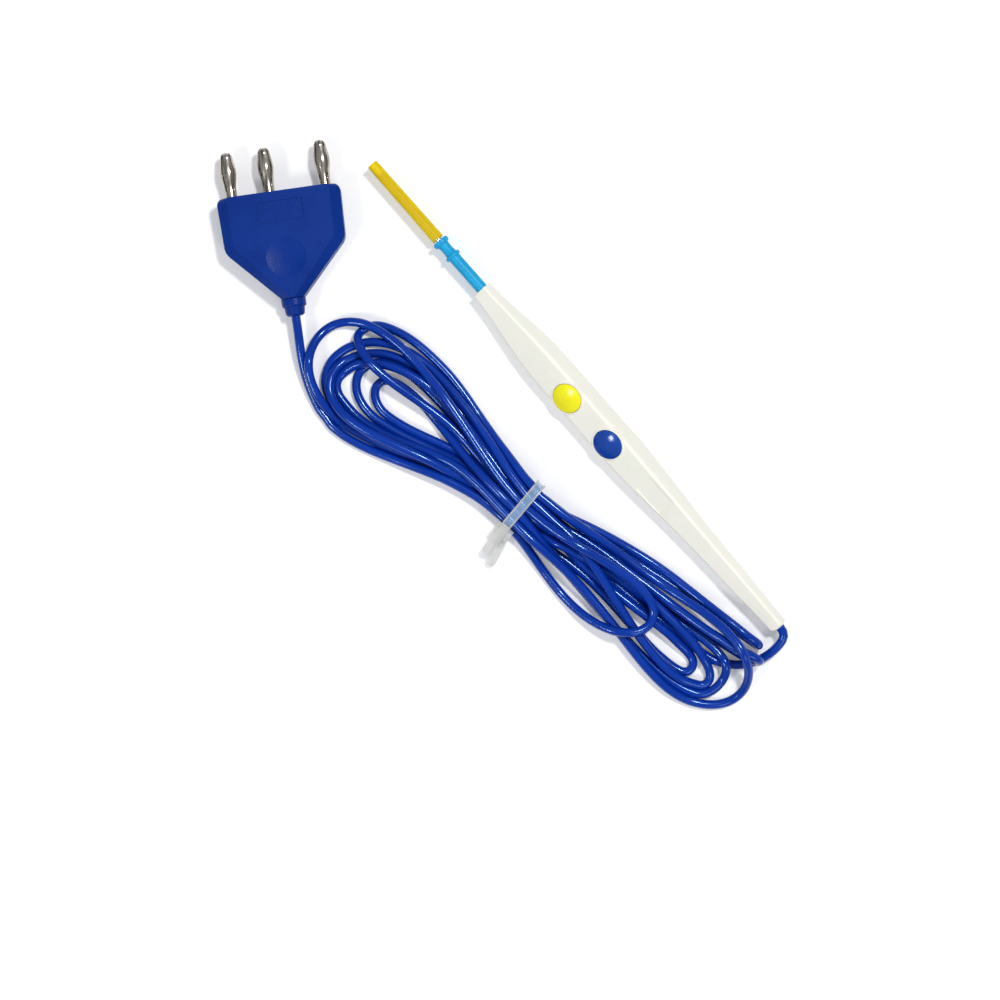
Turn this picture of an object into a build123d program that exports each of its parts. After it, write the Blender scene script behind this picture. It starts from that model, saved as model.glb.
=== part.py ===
from build123d import *
from math import asin, cos, degrees, radians, sin, tan
import os

os.makedirs("parts", exist_ok=True)

# Handle, a moulded body in two halves; depths are counted from its nose back to its tail
BODY_LENGTH = 151.6
GRIP_WIDTH = 11.7
GRIP_HEIGHT = 10.0
NOSE_WIDTH = 5.8
NOSE_HEIGHT = 5.4
TAIL_WIDTH = 5.3
TAIL_HEIGHT = 5.1
STRIP_CORNER = 1.1
BELLY_CORNER = 3.4
INNER_CORNER = 0.3
NOSE_ROUNDING = 0.35
TAIL_ROUNDING = 2.3
TAIL_ROUND_RADIUS = 3.45
WALL = 1.3
CAVITY_FRONT = 25.0
CAVITY_REAR = 126.0
LIP_INSET = 0.7
LIP_HEIGHT = 0.8
LIP_CLEARANCE = 0.05
# How far back along the body, and how much of the way from the end's size to the grip's size
NOSE_SWELL_SHARES = (
    (0.0, 0.0), (0.045, 0.15), (0.09, 0.38), (0.135, 0.66), (0.18, 0.89), (0.225, 0.99), (0.27, 1.0),
    (0.35, 1.0), (0.43, 1.0), (0.49, 1.0))
TAIL_SWELL_SHARES = (
    (0.53, 0.93), (0.58, 0.80), (0.67, 0.54), (0.78, 0.31), (0.89, 0.14), (1.0, 0.0))
CORNER_AT_ENDS_SHARE = 0.6

# Fits: radial gap of pieces that are set in one another, and of those that slide
SET_FIT = 0.02
SLIDE_FIT = 0.08
OVERRUN = 1.0
UPRIGHT = (Align.CENTER, Align.CENTER, Align.MIN)

# Buttons, with their raised seats on the flat strip
CUT_DEPTH = 46.5
BUTTON_PITCH = 20.6
BUTTON_RADIUS = 5.15
BUTTON_GAP = 0.2
BUTTON_EDGE_RISE = 0.35
BUTTON_CROWN = 1.0
BUTTON_SKIRT = 1.1
BUTTON_TRAVEL = 0.7
SEAT_RADIUS = 5.95
SEAT_RISE = 0.3
SEAT_ROUNDING = 0.22
FLANGE_LENGTH = 13.4
FLANGE_WIDTH = 8.2
FLANGE_THICKNESS = 0.8
FLANGE_CORNER = 1.0
FLANGE_GAP = 0.03
PLUNGER_RADIUS = 1.3
PLUNGER_GAP = 0.05

# Marks on the strip: a shallow recess behind the buttons, and fine ribs that a finger finds
RECESS_BEHIND_BUTTON = 23.4
RECESS_LENGTH = 11.6
RECESS_WIDTH = 7.6
RECESS_CORNER = 0.8
RECESS_SINK = 0.3
RIB_PITCH = 0.8
RIB_WIDTH = 0.35
RIB_LENGTH = 3.4
RIB_RISE = 0.16
RIB_COUNT = 5
RIBS_FROM_BUTTON = 9.4

# Circuit board on its two ledges, and the snap domes on it
BOARD_AHEAD = 9.0
BOARD_BEHIND = 12.4
BOARD_WIDTH = 7.8
BOARD_THICKNESS = 0.8
BOARD_TOP_BELOW_AXIS = 0.2
BOARD_CORNER = 0.8
LEDGE_WIDTH = 1.5
LEDGE_THICKNESS = 1.2
DOME_RADIUS = 2.6
DOME_RISE = 0.5
DOME_SHEET = 0.15

# Socket for the electrode's shaft
SOCKET_OUTER_RADIUS = 1.7
SOCKET_FRONT = 4.0
SOCKET_LENGTH = 20.0
SOCKET_FLOOR = 1.0
TAB_WIDTH = 2.4
TAB_THICKNESS = 0.4
TAB_LAP = 3.0

# Electrode: a steel shaft with a flat blade, its moulded sleeve, and the tube that covers the blade
SHAFT_RADIUS = 1.18
SHAFT_IN_HANDLE = 22.0
SHAFT_PAST_SLEEVE = 8.0
SHAFT_CONE = 4.0
SHAFT_CONE_TIP_RADIUS = 0.3
BLADE_WIDTH = 2.6
BLADE_THICKNESS = 0.5
BLADE_BEYOND_SLEEVE = 30.0
BLADE_ROOT = 2.0
BLADE_TIP_ROUNDING = 1.15
SLEEVE_RADIUS = 2.06
SLEEVE_REACH = 21.8
SLEEVE_IN_NOSE = 3.2
COLLAR_AT = 14.3
COLLAR_RADIUS = 2.75
COLLAR_WIDTH = 1.3
SLEEVE_FLANGE_RADIUS = 2.85
SLEEVE_FLANGE_WIDTH = 1.7
SLEEVE_EDGE_ROUNDING = 0.5
NECK_WAIST = 0.2
SLEEVE_MOUTH_RADIUS = 1.6
SLEEVE_MOUTH_DEPTH = 0.8
NOSE_GAP = 0.07
COVER_GAP = 0.6
COVER_LENGTH = 33.6
COVER_TIP_RADIUS = 1.9
COVER_REAR_RADIUS = 2.1
COVER_BORE_RADIUS = 1.5

# Rest: the handle lies rolled over towards the hank, so the strip faces that side
REST_ROLL = 37.0

# Cord, its three cores and the crimp ring that holds it in the tail
CORD_RADIUS = 1.55
CORD_IN_HANDLE = 30.0
CORE_RADIUS = 0.5
CORE_RING_RADIUS = 0.8
CORE_SPREAD = 2.1
CORE_LAP = 3.0
CORES = (("active", 90.0, 0), ("cut", 210.0, -1), ("coag", 330.0, 1))
CORE_CLEARANCE = 0.03
CRIMP_RADIUS = 2.2
CRIMP_LENGTH = 5.0
CRIMP_BACK_FROM_CAVITY = 4.0
TAIL_BORE_GAP = 0.05

# Plug: a flat moulded body that narrows to a stepped collar, lying with its pins past the handle's tip
PLUG_WIDTH = 41.8
PLUG_THICKNESS = 12.0
PLUG_SHOULDER = 18.4
PLUG_SHOULDER_WIDTH = 40.6
PLUG_LENGTH = 36.0
PLUG_NECK_WIDTH = 7.6
PLUG_TOP_CORNER = 2.2
PLUG_SHOULDER_CORNER = 5.0
PLUG_BEVEL_ACROSS = 3.5
PLUG_BEVEL_RISE = 2.6
PLUG_FACE_NECK_WIDTH = 2.0
PLUG_BEVEL_ALONG = 1.2
RING_RADIUS = 4.15
RING_LENGTH = 2.9
RING_ROUNDING = 0.6
BOOT_RADIUS = 3.5
BOOT_END_RADIUS = 3.1
BOOT_LENGTH = 3.1
BOOT_ROUNDING = 1.2
LABEL_LENGTH = 15.7
LABEL_WIDTH = 7.2
LABEL_FROM_TOP = 6.8
LABEL_SINK = 0.4
LABEL_CORNER = 0.5
DISH_RADIUS = 6.75
DISH_SINK = 0.6
DISH_FROM_TOP = 22.4
PLUG_TOP_AT = (117.6, 29.2)
PLUG_TURN = -123.4

# Plug pins: a solid core in a barrel of four sprung leaves
PIN_SPACINGS = (12.7, 19.05)
PIN_LENGTH = 15.6
PIN_ROOT_LENGTH = 6.0
PIN_NECK_RADIUS = 2.0
PIN_CREST_RADIUS = 2.7
PIN_TIP_RADIUS = 2.1
PIN_NECK_LENGTH = 2.6
PIN_CREST_AT = 9.0
LEAF_THICKNESS = 0.4
SLOT_WIDTH = 0.55
CORE_PIN_RADIUS = 1.3
CORE_PIN_LENGTH = 13.8
CORE_PIN_ROUNDING = 0.9

# Hank: where it lies along the handle, its two edges, and its height off the surface
TIE_AT = -16.0
TIE_WIDTH = 3.4
TIE_THICKNESS = 0.8
BUNDLE_WIDTH = 17.8
BUNDLE_HEIGHT = 8.7
BUNDLE_CORNER = 3.2
BUNDLE_CENTRE = 37.8
LEFT_LOBE = (
    (0.0, 27.6, 50.8, 8.8), (16.0, 27.2, 59.0, 8.6), (31.0, 26.2, 66.4, 8.2), (45.0, 27.2, 71.2, 7.6),
    (60.0, 31.0, 69.4, 6.6), (70.0, 38.6, 63.8, 5.6), (75.6, 46.5, 58.0, 3.4))
RIGHT_LOBE = (
    (-29.0, 23.6, 48.6, 9.4), (-44.0, 19.4, 49.6, 9.6), (-61.0, 15.5, 48.4, 8.8), (-79.0, 12.2, 45.0, 7.4),
    (-95.0, 9.0, 43.5, 6.6), (-106.0, 7.2, 39.5, 6.4), (-112.0, 10.0, 34.6, 5.2), (-115.2, 17.0, 27.5, 3.4))
LOBE_CORNER_SHARE = 0.42

# Tie: its head lies against the bundle on the side away from the handle, with a rounded tab each way on
HEAD_LENGTH = 3.4
HEAD_WIDTH = 6.6
HEAD_CORNER = 1.2
TAB_PLATE = 0.9
TAB_END_RADIUS = 1.95
UPPER_TAB_LENGTH = 9.8
UPPER_TAB_HEIGHT = 7.2
UPPER_TAB_DROP = 22.0
UPPER_TAB_TURN = 12.0
LOWER_TAB_LENGTH = 11.8
LOWER_TAB_SIDE = 3.2
LOWER_TAB_TURN = 20.0
TAB_SINK = 1.9

# Free stretches of the cord, as points of its route
PLUG_TAIL_RUN = 6.6
PLUG_TAIL_END = ((70.4, 60.6, 4.4), (62.9, 64.6, 2.4), (54.8, 67.2, 1.6))
PENCIL_TAIL_RUN = 4.4
PENCIL_TAIL_END = ((-110.6, 4.4, 5.0), (-110.4, 11.4, 2.9), (-106.0, 18.6, 1.6), (-98.9, 23.0, 1.6))
RUN_IN_ARC_SHARE = 0.45


# Places that follow from the sizes above
EXPOSED = SLEEVE_REACH + COVER_GAP + COVER_LENGTH
NOSE_X = (BODY_LENGTH + EXPOSED) / 2 - EXPOSED
TAIL_X = NOSE_X - BODY_LENGTH
BUTTON_DEPTHS = {"cut": CUT_DEPTH, "coag": CUT_DEPTH + BUTTON_PITCH}
BOARD_TOP = -BOARD_TOP_BELOW_AXIS
BOARD_FRONT = CUT_DEPTH - BOARD_AHEAD
BOARD_LENGTH = BOARD_AHEAD + BUTTON_PITCH + BOARD_BEHIND
BOARD_MIDDLE = NOSE_X - BOARD_FRONT - BOARD_LENGTH / 2
RECESS_DEPTH_BACK = CUT_DEPTH + BUTTON_PITCH + RECESS_BEHIND_BUTTON


def swell(share):
    """How much of the way from the end's size to the grip's size the body is, so far back."""
    table = NOSE_SWELL_SHARES + TAIL_SWELL_SHARES
    for (a, low), (b, high) in zip(table, table[1:]):
        if share <= b:
            return low + (high - low) * (share - a) / (b - a)
    return table[-1][1]


def body_size(share):
    """The body's width and height so far back."""
    nose_side = share <= NOSE_SWELL_SHARES[-1][0]
    end = (NOSE_WIDTH, NOSE_HEIGHT) if nose_side else (TAIL_WIDTH, TAIL_HEIGHT)
    full = (GRIP_WIDTH, GRIP_HEIGHT)
    return tuple(small + (large - small) * swell(share) for small, large in zip(end, full))


def strip_height(depth):
    """The height of the flat strip above the axis, so far behind the nose."""
    return body_size(depth / BODY_LENGTH)[1] / 2


def across(x):
    """The plane across the handle at x, with its own x to the side and y up."""
    return Plane(origin=(x, 0, 0), x_dir=(0, 1, 0), z_dir=(1, 0, 0))


def body_section(share, inset):
    """The body's outline so far back, moved in by inset: a flat strip above and a round belly below."""
    width, height = body_size(share)
    keep = CORNER_AT_ENDS_SHARE + (1 - CORNER_AT_ENDS_SHARE) * swell(share)
    strip = max(STRIP_CORNER * keep - inset, INNER_CORNER)
    belly = max(BELLY_CORNER * height / GRIP_HEIGHT - inset, INNER_CORNER)
    outline = Rectangle(width - 2 * inset, height - 2 * inset)
    outline = fillet(outline.vertices().group_by(Axis.Y)[-1], strip)
    outline = fillet(outline.vertices().group_by(Axis.Y)[0], belly)
    return across(NOSE_X - share * BODY_LENGTH) * outline


def body_loft(inset, front=0.0, rear=BODY_LENGTH):
    """The body's form between two depths, moved in by inset."""
    first, last = front / BODY_LENGTH, rear / BODY_LENGTH
    inner = [s for s, _ in NOSE_SWELL_SHARES + TAIL_SWELL_SHARES if first < s < last]
    return loft([body_section(s, inset) for s in [first] + inner + [last]])


def rod(radius, front, length):
    """A round rod on the handle's axis, from a depth back."""
    return extrude(across(NOSE_X - front - length) * Circle(radius), length)


def slab(low, high):
    """All that lies between two heights, as a block round the whole handle."""
    return Pos(NOSE_X - BODY_LENGTH / 2, 0, low) * Box(
        BODY_LENGTH + 2 * OVERRUN, GRIP_WIDTH + 2 * OVERRUN, high - low, align=UPRIGHT)


def handle_form():
    """The whole outer form of the handle, with its nose and tail rounded."""
    form = body_loft(0.0)
    form = fillet(form.faces().sort_by(Axis.X)[-1].edges(), NOSE_ROUNDING)
    front = BODY_LENGTH - TAIL_ROUNDING
    around = rod(GRIP_WIDTH, front, TAIL_ROUNDING + OVERRUN)
    bullet = rod(TAIL_ROUND_RADIUS, front - OVERRUN, TAIL_ROUNDING + OVERRUN)
    return form - (around - fillet(bullet.edges().sort_by(Axis.X)[0], TAIL_ROUNDING))


def handle_bores():
    """What is cut from both halves: nose bore, socket seat, crimp pocket and the cord's way out."""
    nose = rod(SLEEVE_RADIUS + NOSE_GAP, -OVERRUN, SOCKET_FRONT + OVERRUN)
    seat = rod(SOCKET_OUTER_RADIUS + SET_FIT, SOCKET_FRONT, CAVITY_FRONT - SOCKET_FRONT + OVERRUN)
    way = rod(CORD_RADIUS + TAIL_BORE_GAP, CAVITY_REAR - OVERRUN, BODY_LENGTH - CAVITY_REAR + 2 * OVERRUN)
    crimp = rod(CRIMP_RADIUS + SET_FIT, CAVITY_REAR + CRIMP_BACK_FROM_CAVITY, CRIMP_LENGTH)
    return nose + seat + way + crimp


def strip_plane(depth):
    """The plane of the strip so far behind the nose, tilted with it."""
    slope = degrees(asin((strip_height(depth - OVERRUN) - strip_height(depth + OVERRUN)) / (2 * OVERRUN)))
    return Pos(NOSE_X - depth, 0, strip_height(depth)) * Rot(0, -slope, 0)


def finger_ribs(depth):
    """A few fine ribs across the strip."""
    ribs = []
    for k in range(RIB_COUNT):
        at = depth + (k - (RIB_COUNT - 1) / 2) * RIB_PITCH
        ribs.append(strip_plane(at) * Box(RIB_WIDTH, RIB_LENGTH, 2 * RIB_RISE))
    return ribs


def top_shell(form, cavity, bores):
    """The upper half: button seats, the recess and the groove for the lower half's lip."""
    shell = form & slab(0.0, GRIP_HEIGHT)
    for depth in BUTTON_DEPTHS.values():
        top = strip_height(depth)
        seat = Pos(NOSE_X - depth, 0, top - WALL) * Cylinder(
            SEAT_RADIUS, WALL + SEAT_RISE, align=UPRIGHT)
        shell += fillet(seat.edges().sort_by(Axis.Z)[-1], SEAT_ROUNDING)
    shell -= cavity
    groove = body_loft(LIP_INSET, CAVITY_FRONT, CAVITY_REAR) & slab(-OVERRUN, LIP_HEIGHT + LIP_CLEARANCE)
    shell -= groove
    for depth in BUTTON_DEPTHS.values():
        floor = strip_height(depth) - BUTTON_SKIRT - BUTTON_TRAVEL - BUTTON_GAP
        shell -= Pos(NOSE_X - depth, 0, floor) * Cylinder(
            BUTTON_RADIUS + BUTTON_GAP, GRIP_HEIGHT, align=UPRIGHT)
    recess = extrude(RectangleRounded(RECESS_LENGTH, RECESS_WIDTH, RECESS_CORNER), OVERRUN)
    shell -= strip_plane(RECESS_DEPTH_BACK) * Pos(0, 0, -RECESS_SINK) * recess
    for depth in (CUT_DEPTH - RIBS_FROM_BUTTON, CUT_DEPTH + BUTTON_PITCH + RIBS_FROM_BUTTON):
        for rib in finger_ribs(depth):
            shell += rib
    return shell - bores


def bottom_shell(form, cavity, bores):
    """The lower half: the lip that enters the upper half, and the two ledges under the board."""
    shell = (form & slab(-GRIP_HEIGHT, 0.0)) - cavity
    lip = body_loft(LIP_INSET + LIP_CLEARANCE, CAVITY_FRONT + LIP_CLEARANCE, CAVITY_REAR - LIP_CLEARANCE)
    shell += (lip - cavity) & slab(-LIP_HEIGHT, LIP_HEIGHT)
    ledge_top = BOARD_TOP - BOARD_THICKNESS
    inner_half = GRIP_WIDTH / 2 - WALL
    for side in (-1, 1):
        outward = Align.MIN if side > 0 else Align.MAX
        ledge = Box(BOARD_LENGTH, LEDGE_WIDTH + WALL / 2, LEDGE_THICKNESS,
                    align=(Align.CENTER, outward, Align.MAX))
        shell += Pos(BOARD_MIDDLE, side * (inner_half - LEDGE_WIDTH), ledge_top) * ledge
    return shell - bores


def button(depth):
    """A low domed cap on its skirt, with the flange that stops it and the plunger over the snap dome."""
    top = strip_height(depth)
    rim = top + BUTTON_EDGE_RISE
    cap = Pos(0, 0, top - BUTTON_SKIRT) * Cylinder(
        BUTTON_RADIUS, BUTTON_SKIRT + BUTTON_EDGE_RISE, align=UPRIGHT)
    ball = (BUTTON_RADIUS ** 2 + BUTTON_CROWN ** 2) / (2 * BUTTON_CROWN)
    dome = Pos(0, 0, rim + BUTTON_CROWN - ball) * Sphere(ball)
    dome = dome & Pos(0, 0, rim) * Cylinder(
        BUTTON_RADIUS, 2 * BUTTON_CROWN, align=UPRIGHT)
    flange_top = strip_height(depth) - WALL - FLANGE_GAP
    flange = extrude(RectangleRounded(FLANGE_LENGTH, FLANGE_WIDTH, FLANGE_CORNER), -FLANGE_THICKNESS)
    tip = BOARD_TOP + DOME_RISE + BUTTON_TRAVEL + PLUNGER_GAP
    plunger = Pos(0, 0, tip) * Cylinder(
        PLUNGER_RADIUS, top - tip - BUTTON_SKIRT / 2, align=UPRIGHT)
    stem = Pos(0, 0, flange_top - FLANGE_THICKNESS) * Cylinder(
        BUTTON_RADIUS - WALL, top - flange_top + FLANGE_THICKNESS, align=UPRIGHT)
    return Pos(NOSE_X - depth, 0, 0) * (cap + dome + stem + plunger + Pos(0, 0, flange_top) * flange)


def circuit_board():
    """The board that both snap domes sit on."""
    board = extrude(RectangleRounded(BOARD_LENGTH, BOARD_WIDTH, BOARD_CORNER), -BOARD_THICKNESS)
    return Pos(BOARD_MIDDLE, 0, BOARD_TOP) * board


def snap_dome(depth):
    """A thin round sheet that bulges up off the board."""
    ball = (DOME_RADIUS ** 2 + DOME_RISE ** 2) / (2 * DOME_RISE)
    shell = Sphere(ball) - Sphere(ball - DOME_SHEET)
    above = Cylinder(DOME_RADIUS, 2 * DOME_RISE, align=UPRIGHT)
    cap = Pos(0, 0, DOME_RISE - ball) * shell & above
    return Pos(NOSE_X - depth, 0, BOARD_TOP) * cap


def electrode_socket():
    """A tube closed at its rear, with the flat tab that is soldered to the board."""
    tube = rod(SOCKET_OUTER_RADIUS, SOCKET_FRONT, SOCKET_LENGTH)
    tube -= rod(SHAFT_RADIUS + SLIDE_FIT, SOCKET_FRONT - OVERRUN, SOCKET_LENGTH - SOCKET_FLOOR + OVERRUN)
    rear = NOSE_X - SOCKET_FRONT - SOCKET_LENGTH
    board_end = NOSE_X - BOARD_FRONT - TAB_LAP
    tab = Box(rear + SOCKET_FLOOR / 2 - board_end, TAB_WIDTH, TAB_THICKNESS,
              align=(Align.MIN, Align.CENTER, Align.MIN))
    return tube + Pos(board_end, 0, BOARD_TOP) * tab


def turned(profile):
    """A profile in the plane of x and z, turned about the handle's axis."""
    return revolve(profile, Axis.X)


def blade_electrode():
    """A round shaft that ends in a cone, run on as a flat blade with a rounded tip."""
    rear, mouth = NOSE_X - SHAFT_IN_HANDLE, NOSE_X + SLEEVE_REACH
    cone_end = mouth + SHAFT_PAST_SLEEVE
    outline = Polyline(
        (rear, 0), (rear, SHAFT_RADIUS), (cone_end - SHAFT_CONE, SHAFT_RADIUS),
        (cone_end, SHAFT_CONE_TIP_RADIUS), (cone_end, 0), close=True)
    shaft = turned(Plane.XZ * make_face(outline))
    root, tip = cone_end - SHAFT_CONE - BLADE_ROOT, mouth + BLADE_BEYOND_SLEEVE
    flat = Pos((root + tip) / 2, 0, 0) * RectangleRounded(tip - root, BLADE_WIDTH, BLADE_TIP_ROUNDING)
    return shaft + Pos(0, 0, -BLADE_THICKNESS / 2) * extrude(flat, BLADE_THICKNESS)


def electrode_sleeve():
    """The moulded sleeve: a plain tube, a collar, a slightly waisted neck and a front flange."""
    rear, front = NOSE_X - SLEEVE_IN_NOSE, NOSE_X + SLEEVE_REACH
    collar, flange = NOSE_X + COLLAR_AT, front - SLEEVE_FLANGE_WIDTH
    bore = SHAFT_RADIUS + SET_FIT
    neck = collar + COLLAR_WIDTH
    outline = Polyline(
        (neck, SLEEVE_RADIUS), (neck, COLLAR_RADIUS), (collar, COLLAR_RADIUS), (collar, SLEEVE_RADIUS),
        (rear, SLEEVE_RADIUS), (rear, bore), (front - SLEEVE_MOUTH_DEPTH, bore),
        (front - SLEEVE_MOUTH_DEPTH, SLEEVE_MOUTH_RADIUS), (front, SLEEVE_MOUTH_RADIUS),
        (front, SLEEVE_FLANGE_RADIUS), (flange, SLEEVE_FLANGE_RADIUS), (flange, SLEEVE_RADIUS))
    waist = ThreePointArc((flange, SLEEVE_RADIUS), ((neck + flange) / 2, SLEEVE_RADIUS - NECK_WAIST),
                          (neck, SLEEVE_RADIUS))
    sleeve = turned(Plane.XZ * make_face([*outline.edges(), *waist.edges()]))
    circles = sleeve.edges().filter_by(GeomType.CIRCLE)
    rims = [e for e in circles if e.radius > COLLAR_RADIUS - SET_FIT]
    return fillet(rims, SLEEVE_EDGE_ROUNDING)


def blade_cover():
    """The tube over the blade, a little wider at the end that is pushed on."""
    rear = NOSE_X + SLEEVE_REACH + COVER_GAP
    front = rear + COVER_LENGTH
    outline = Polyline((rear, COVER_BORE_RADIUS), (rear, COVER_REAR_RADIUS),
                       (front, COVER_TIP_RADIUS), (front, COVER_BORE_RADIUS), close=True)
    return turned(Plane.XZ * make_face(outline))


def arcs_along(points):
    """A path of straight runs joined by tangent arcs, each as large as its runs allow, and its radii."""
    radii = []
    for a, b, c in zip(points, points[1:], points[2:]):
        before, after = Vector(b) - Vector(a), Vector(c) - Vector(b)
        shorter = min(before.length, after.length)
        radii.append(RUN_IN_ARC_SHARE * shorter / tan(radians(before.get_angle(after)) / 2))
    return FilletPolyline(*points, radius=radii), radii


def tube(points, radius):
    """A round solid along a route, with its length, its radii and its volume's share of the plain sum."""
    path, radii = arcs_along(points)
    start = Plane(origin=path @ 0, z_dir=path % 0)
    solid = sweep(start * Circle(radius), path=path)
    plain = Circle(radius).area * path.length
    return solid, path.length, [round(r, 1) for r in radii], solid.volume / plain


def wires():
    """Three insulated cores from the end of the cord's jacket to the rear of the board."""
    jacket = NOSE_X - BODY_LENGTH + CORD_IN_HANDLE
    board_rear = NOSE_X - BOARD_FRONT - BOARD_LENGTH
    height = BOARD_TOP + CORE_RADIUS + CORE_CLEARANCE
    made = {}
    span = board_rear - jacket
    for name, turn, side in CORES:
        y, z = CORE_RING_RADIUS * cos(radians(turn)), CORE_RING_RADIUS * sin(radians(turn))
        side *= CORE_SPREAD
        route = [(jacket, y, z), (jacket + span / 3, (y + side) / 2, (z + height) / 2),
                 (board_rear - span / 4, side, height), (board_rear + CORE_LAP, side, height)]
        made[name + "_wire"] = tube(route, CORE_RADIUS)[0]
    return made


def crimp_ring():
    """The ring pressed on the cord, held in its pocket in the tail."""
    front = CAVITY_REAR + CRIMP_BACK_FROM_CAVITY
    ring = rod(CRIMP_RADIUS, front + SET_FIT, CRIMP_LENGTH - 2 * SET_FIT)
    return ring - rod(CORD_RADIUS + SET_FIT, front - OVERRUN, CRIMP_LENGTH + 2 * OVERRUN)


def cord_in_handle():
    """The straight stretch of cord inside the handle, up to its tail."""
    return rod(CORD_RADIUS, BODY_LENGTH - CORD_IN_HANDLE, CORD_IN_HANDLE)


def plug_outline(inset, shoulder, half_neck, top_corner, shoulder_corner):
    """The plug's outline: nearly square at the pins, tapered to the neck, with rounded corners."""
    half_top, half_shoulder = PLUG_WIDTH / 2 - inset, PLUG_SHOULDER_WIDTH / 2 - inset
    outline = make_face(Polyline(
        (-half_top, 0), (half_top, 0), (half_shoulder, -shoulder), (half_neck, -PLUG_LENGTH),
        (-half_neck, -PLUG_LENGTH), (-half_shoulder, -shoulder), close=True))
    rows = outline.vertices().group_by(Axis.Y)
    outline = fillet(rows[-1], top_corner)
    shoulders = [v for v in outline.vertices() if abs(v.Y + shoulder) < SET_FIT]
    return fillet(shoulders, shoulder_corner)


def pin_places():
    """How far each pin is from the plug's middle."""
    first, second = PIN_SPACINGS
    left = -(first + second) / 2
    return (left, left + first, left + first + second)


def plug_body():
    """The moulded plug: bevelled along its sides and taper, with a bare recess, a dish and its collar."""
    outer = plug_outline(0.0, PLUG_SHOULDER, PLUG_NECK_WIDTH / 2, PLUG_TOP_CORNER, PLUG_SHOULDER_CORNER)
    face = plug_outline(PLUG_BEVEL_ACROSS, PLUG_SHOULDER - PLUG_BEVEL_ALONG,
                        PLUG_FACE_NECK_WIDTH / 2, PLUG_TOP_CORNER / 2, PLUG_SHOULDER_CORNER / 2)
    low, high = PLUG_BEVEL_RISE, PLUG_THICKNESS - PLUG_BEVEL_RISE
    body = Pos(0, 0, low) * extrude(outer, high - low)
    body += loft([Pos(0, 0, high) * outer, Pos(0, 0, PLUG_THICKNESS) * face], ruled=True)
    body += loft([face, Pos(0, 0, low) * outer], ruled=True)
    body += plug_collar()
    label = Pos(0, -LABEL_FROM_TOP, PLUG_THICKNESS - LABEL_SINK) * extrude(
        RectangleRounded(LABEL_LENGTH, LABEL_WIDTH, LABEL_CORNER), OVERRUN)
    ball = (DISH_RADIUS ** 2 + DISH_SINK ** 2) / (2 * DISH_SINK)
    dish = Pos(0, -DISH_FROM_TOP, PLUG_THICKNESS - DISH_SINK + ball) * Sphere(ball)
    body -= label
    body -= dish
    for x in pin_places():
        body -= pin_rod(x, PIN_NECK_RADIUS + SET_FIT, -PIN_ROOT_LENGTH, PIN_ROOT_LENGTH + OVERRUN)
    return body


def collar_end():
    """How far the plug reaches behind its pin face, with its collar."""
    return PLUG_LENGTH + RING_LENGTH + BOOT_LENGTH


def plug_collar():
    """The round ring and the tapered boot that the cord comes out of."""
    y, boot, end = -PLUG_LENGTH, -PLUG_LENGTH - RING_LENGTH, -collar_end()
    outline = Polyline(
        (0, y + OVERRUN), (RING_RADIUS, y + OVERRUN), (RING_RADIUS, boot), (BOOT_RADIUS, boot),
        (BOOT_END_RADIUS, end), (0, end), close=True)
    collar = revolve(make_face(outline), Axis.Y)
    circles = collar.edges().filter_by(GeomType.CIRCLE)
    collar = fillet([e for e in circles if abs(e.radius - RING_RADIUS) < SET_FIT], RING_ROUNDING)
    circles = collar.edges().filter_by(GeomType.CIRCLE)
    collar = fillet([e for e in circles if abs(e.radius - BOOT_END_RADIUS) < SET_FIT], BOOT_ROUNDING)
    return Pos(0, 0, PLUG_THICKNESS / 2) * collar


def pin_rod(x, radius, start, length):
    """A round rod along a pin's axis, from start past the plug's pin face."""
    plane = Plane(origin=(x, start, PLUG_THICKNESS / 2), x_dir=(1, 0, 0), z_dir=(0, 1, 0))
    return extrude(plane * Circle(radius), length)


def pin_core(x):
    """The solid core that the leaves spring against, with a rounded tip."""
    start = -PIN_ROOT_LENGTH + SET_FIT
    core = pin_rod(x, CORE_PIN_RADIUS, start, CORE_PIN_LENGTH - start)
    return fillet(core.edges().sort_by(Axis.Y)[-1], CORE_PIN_ROUNDING)


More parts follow.
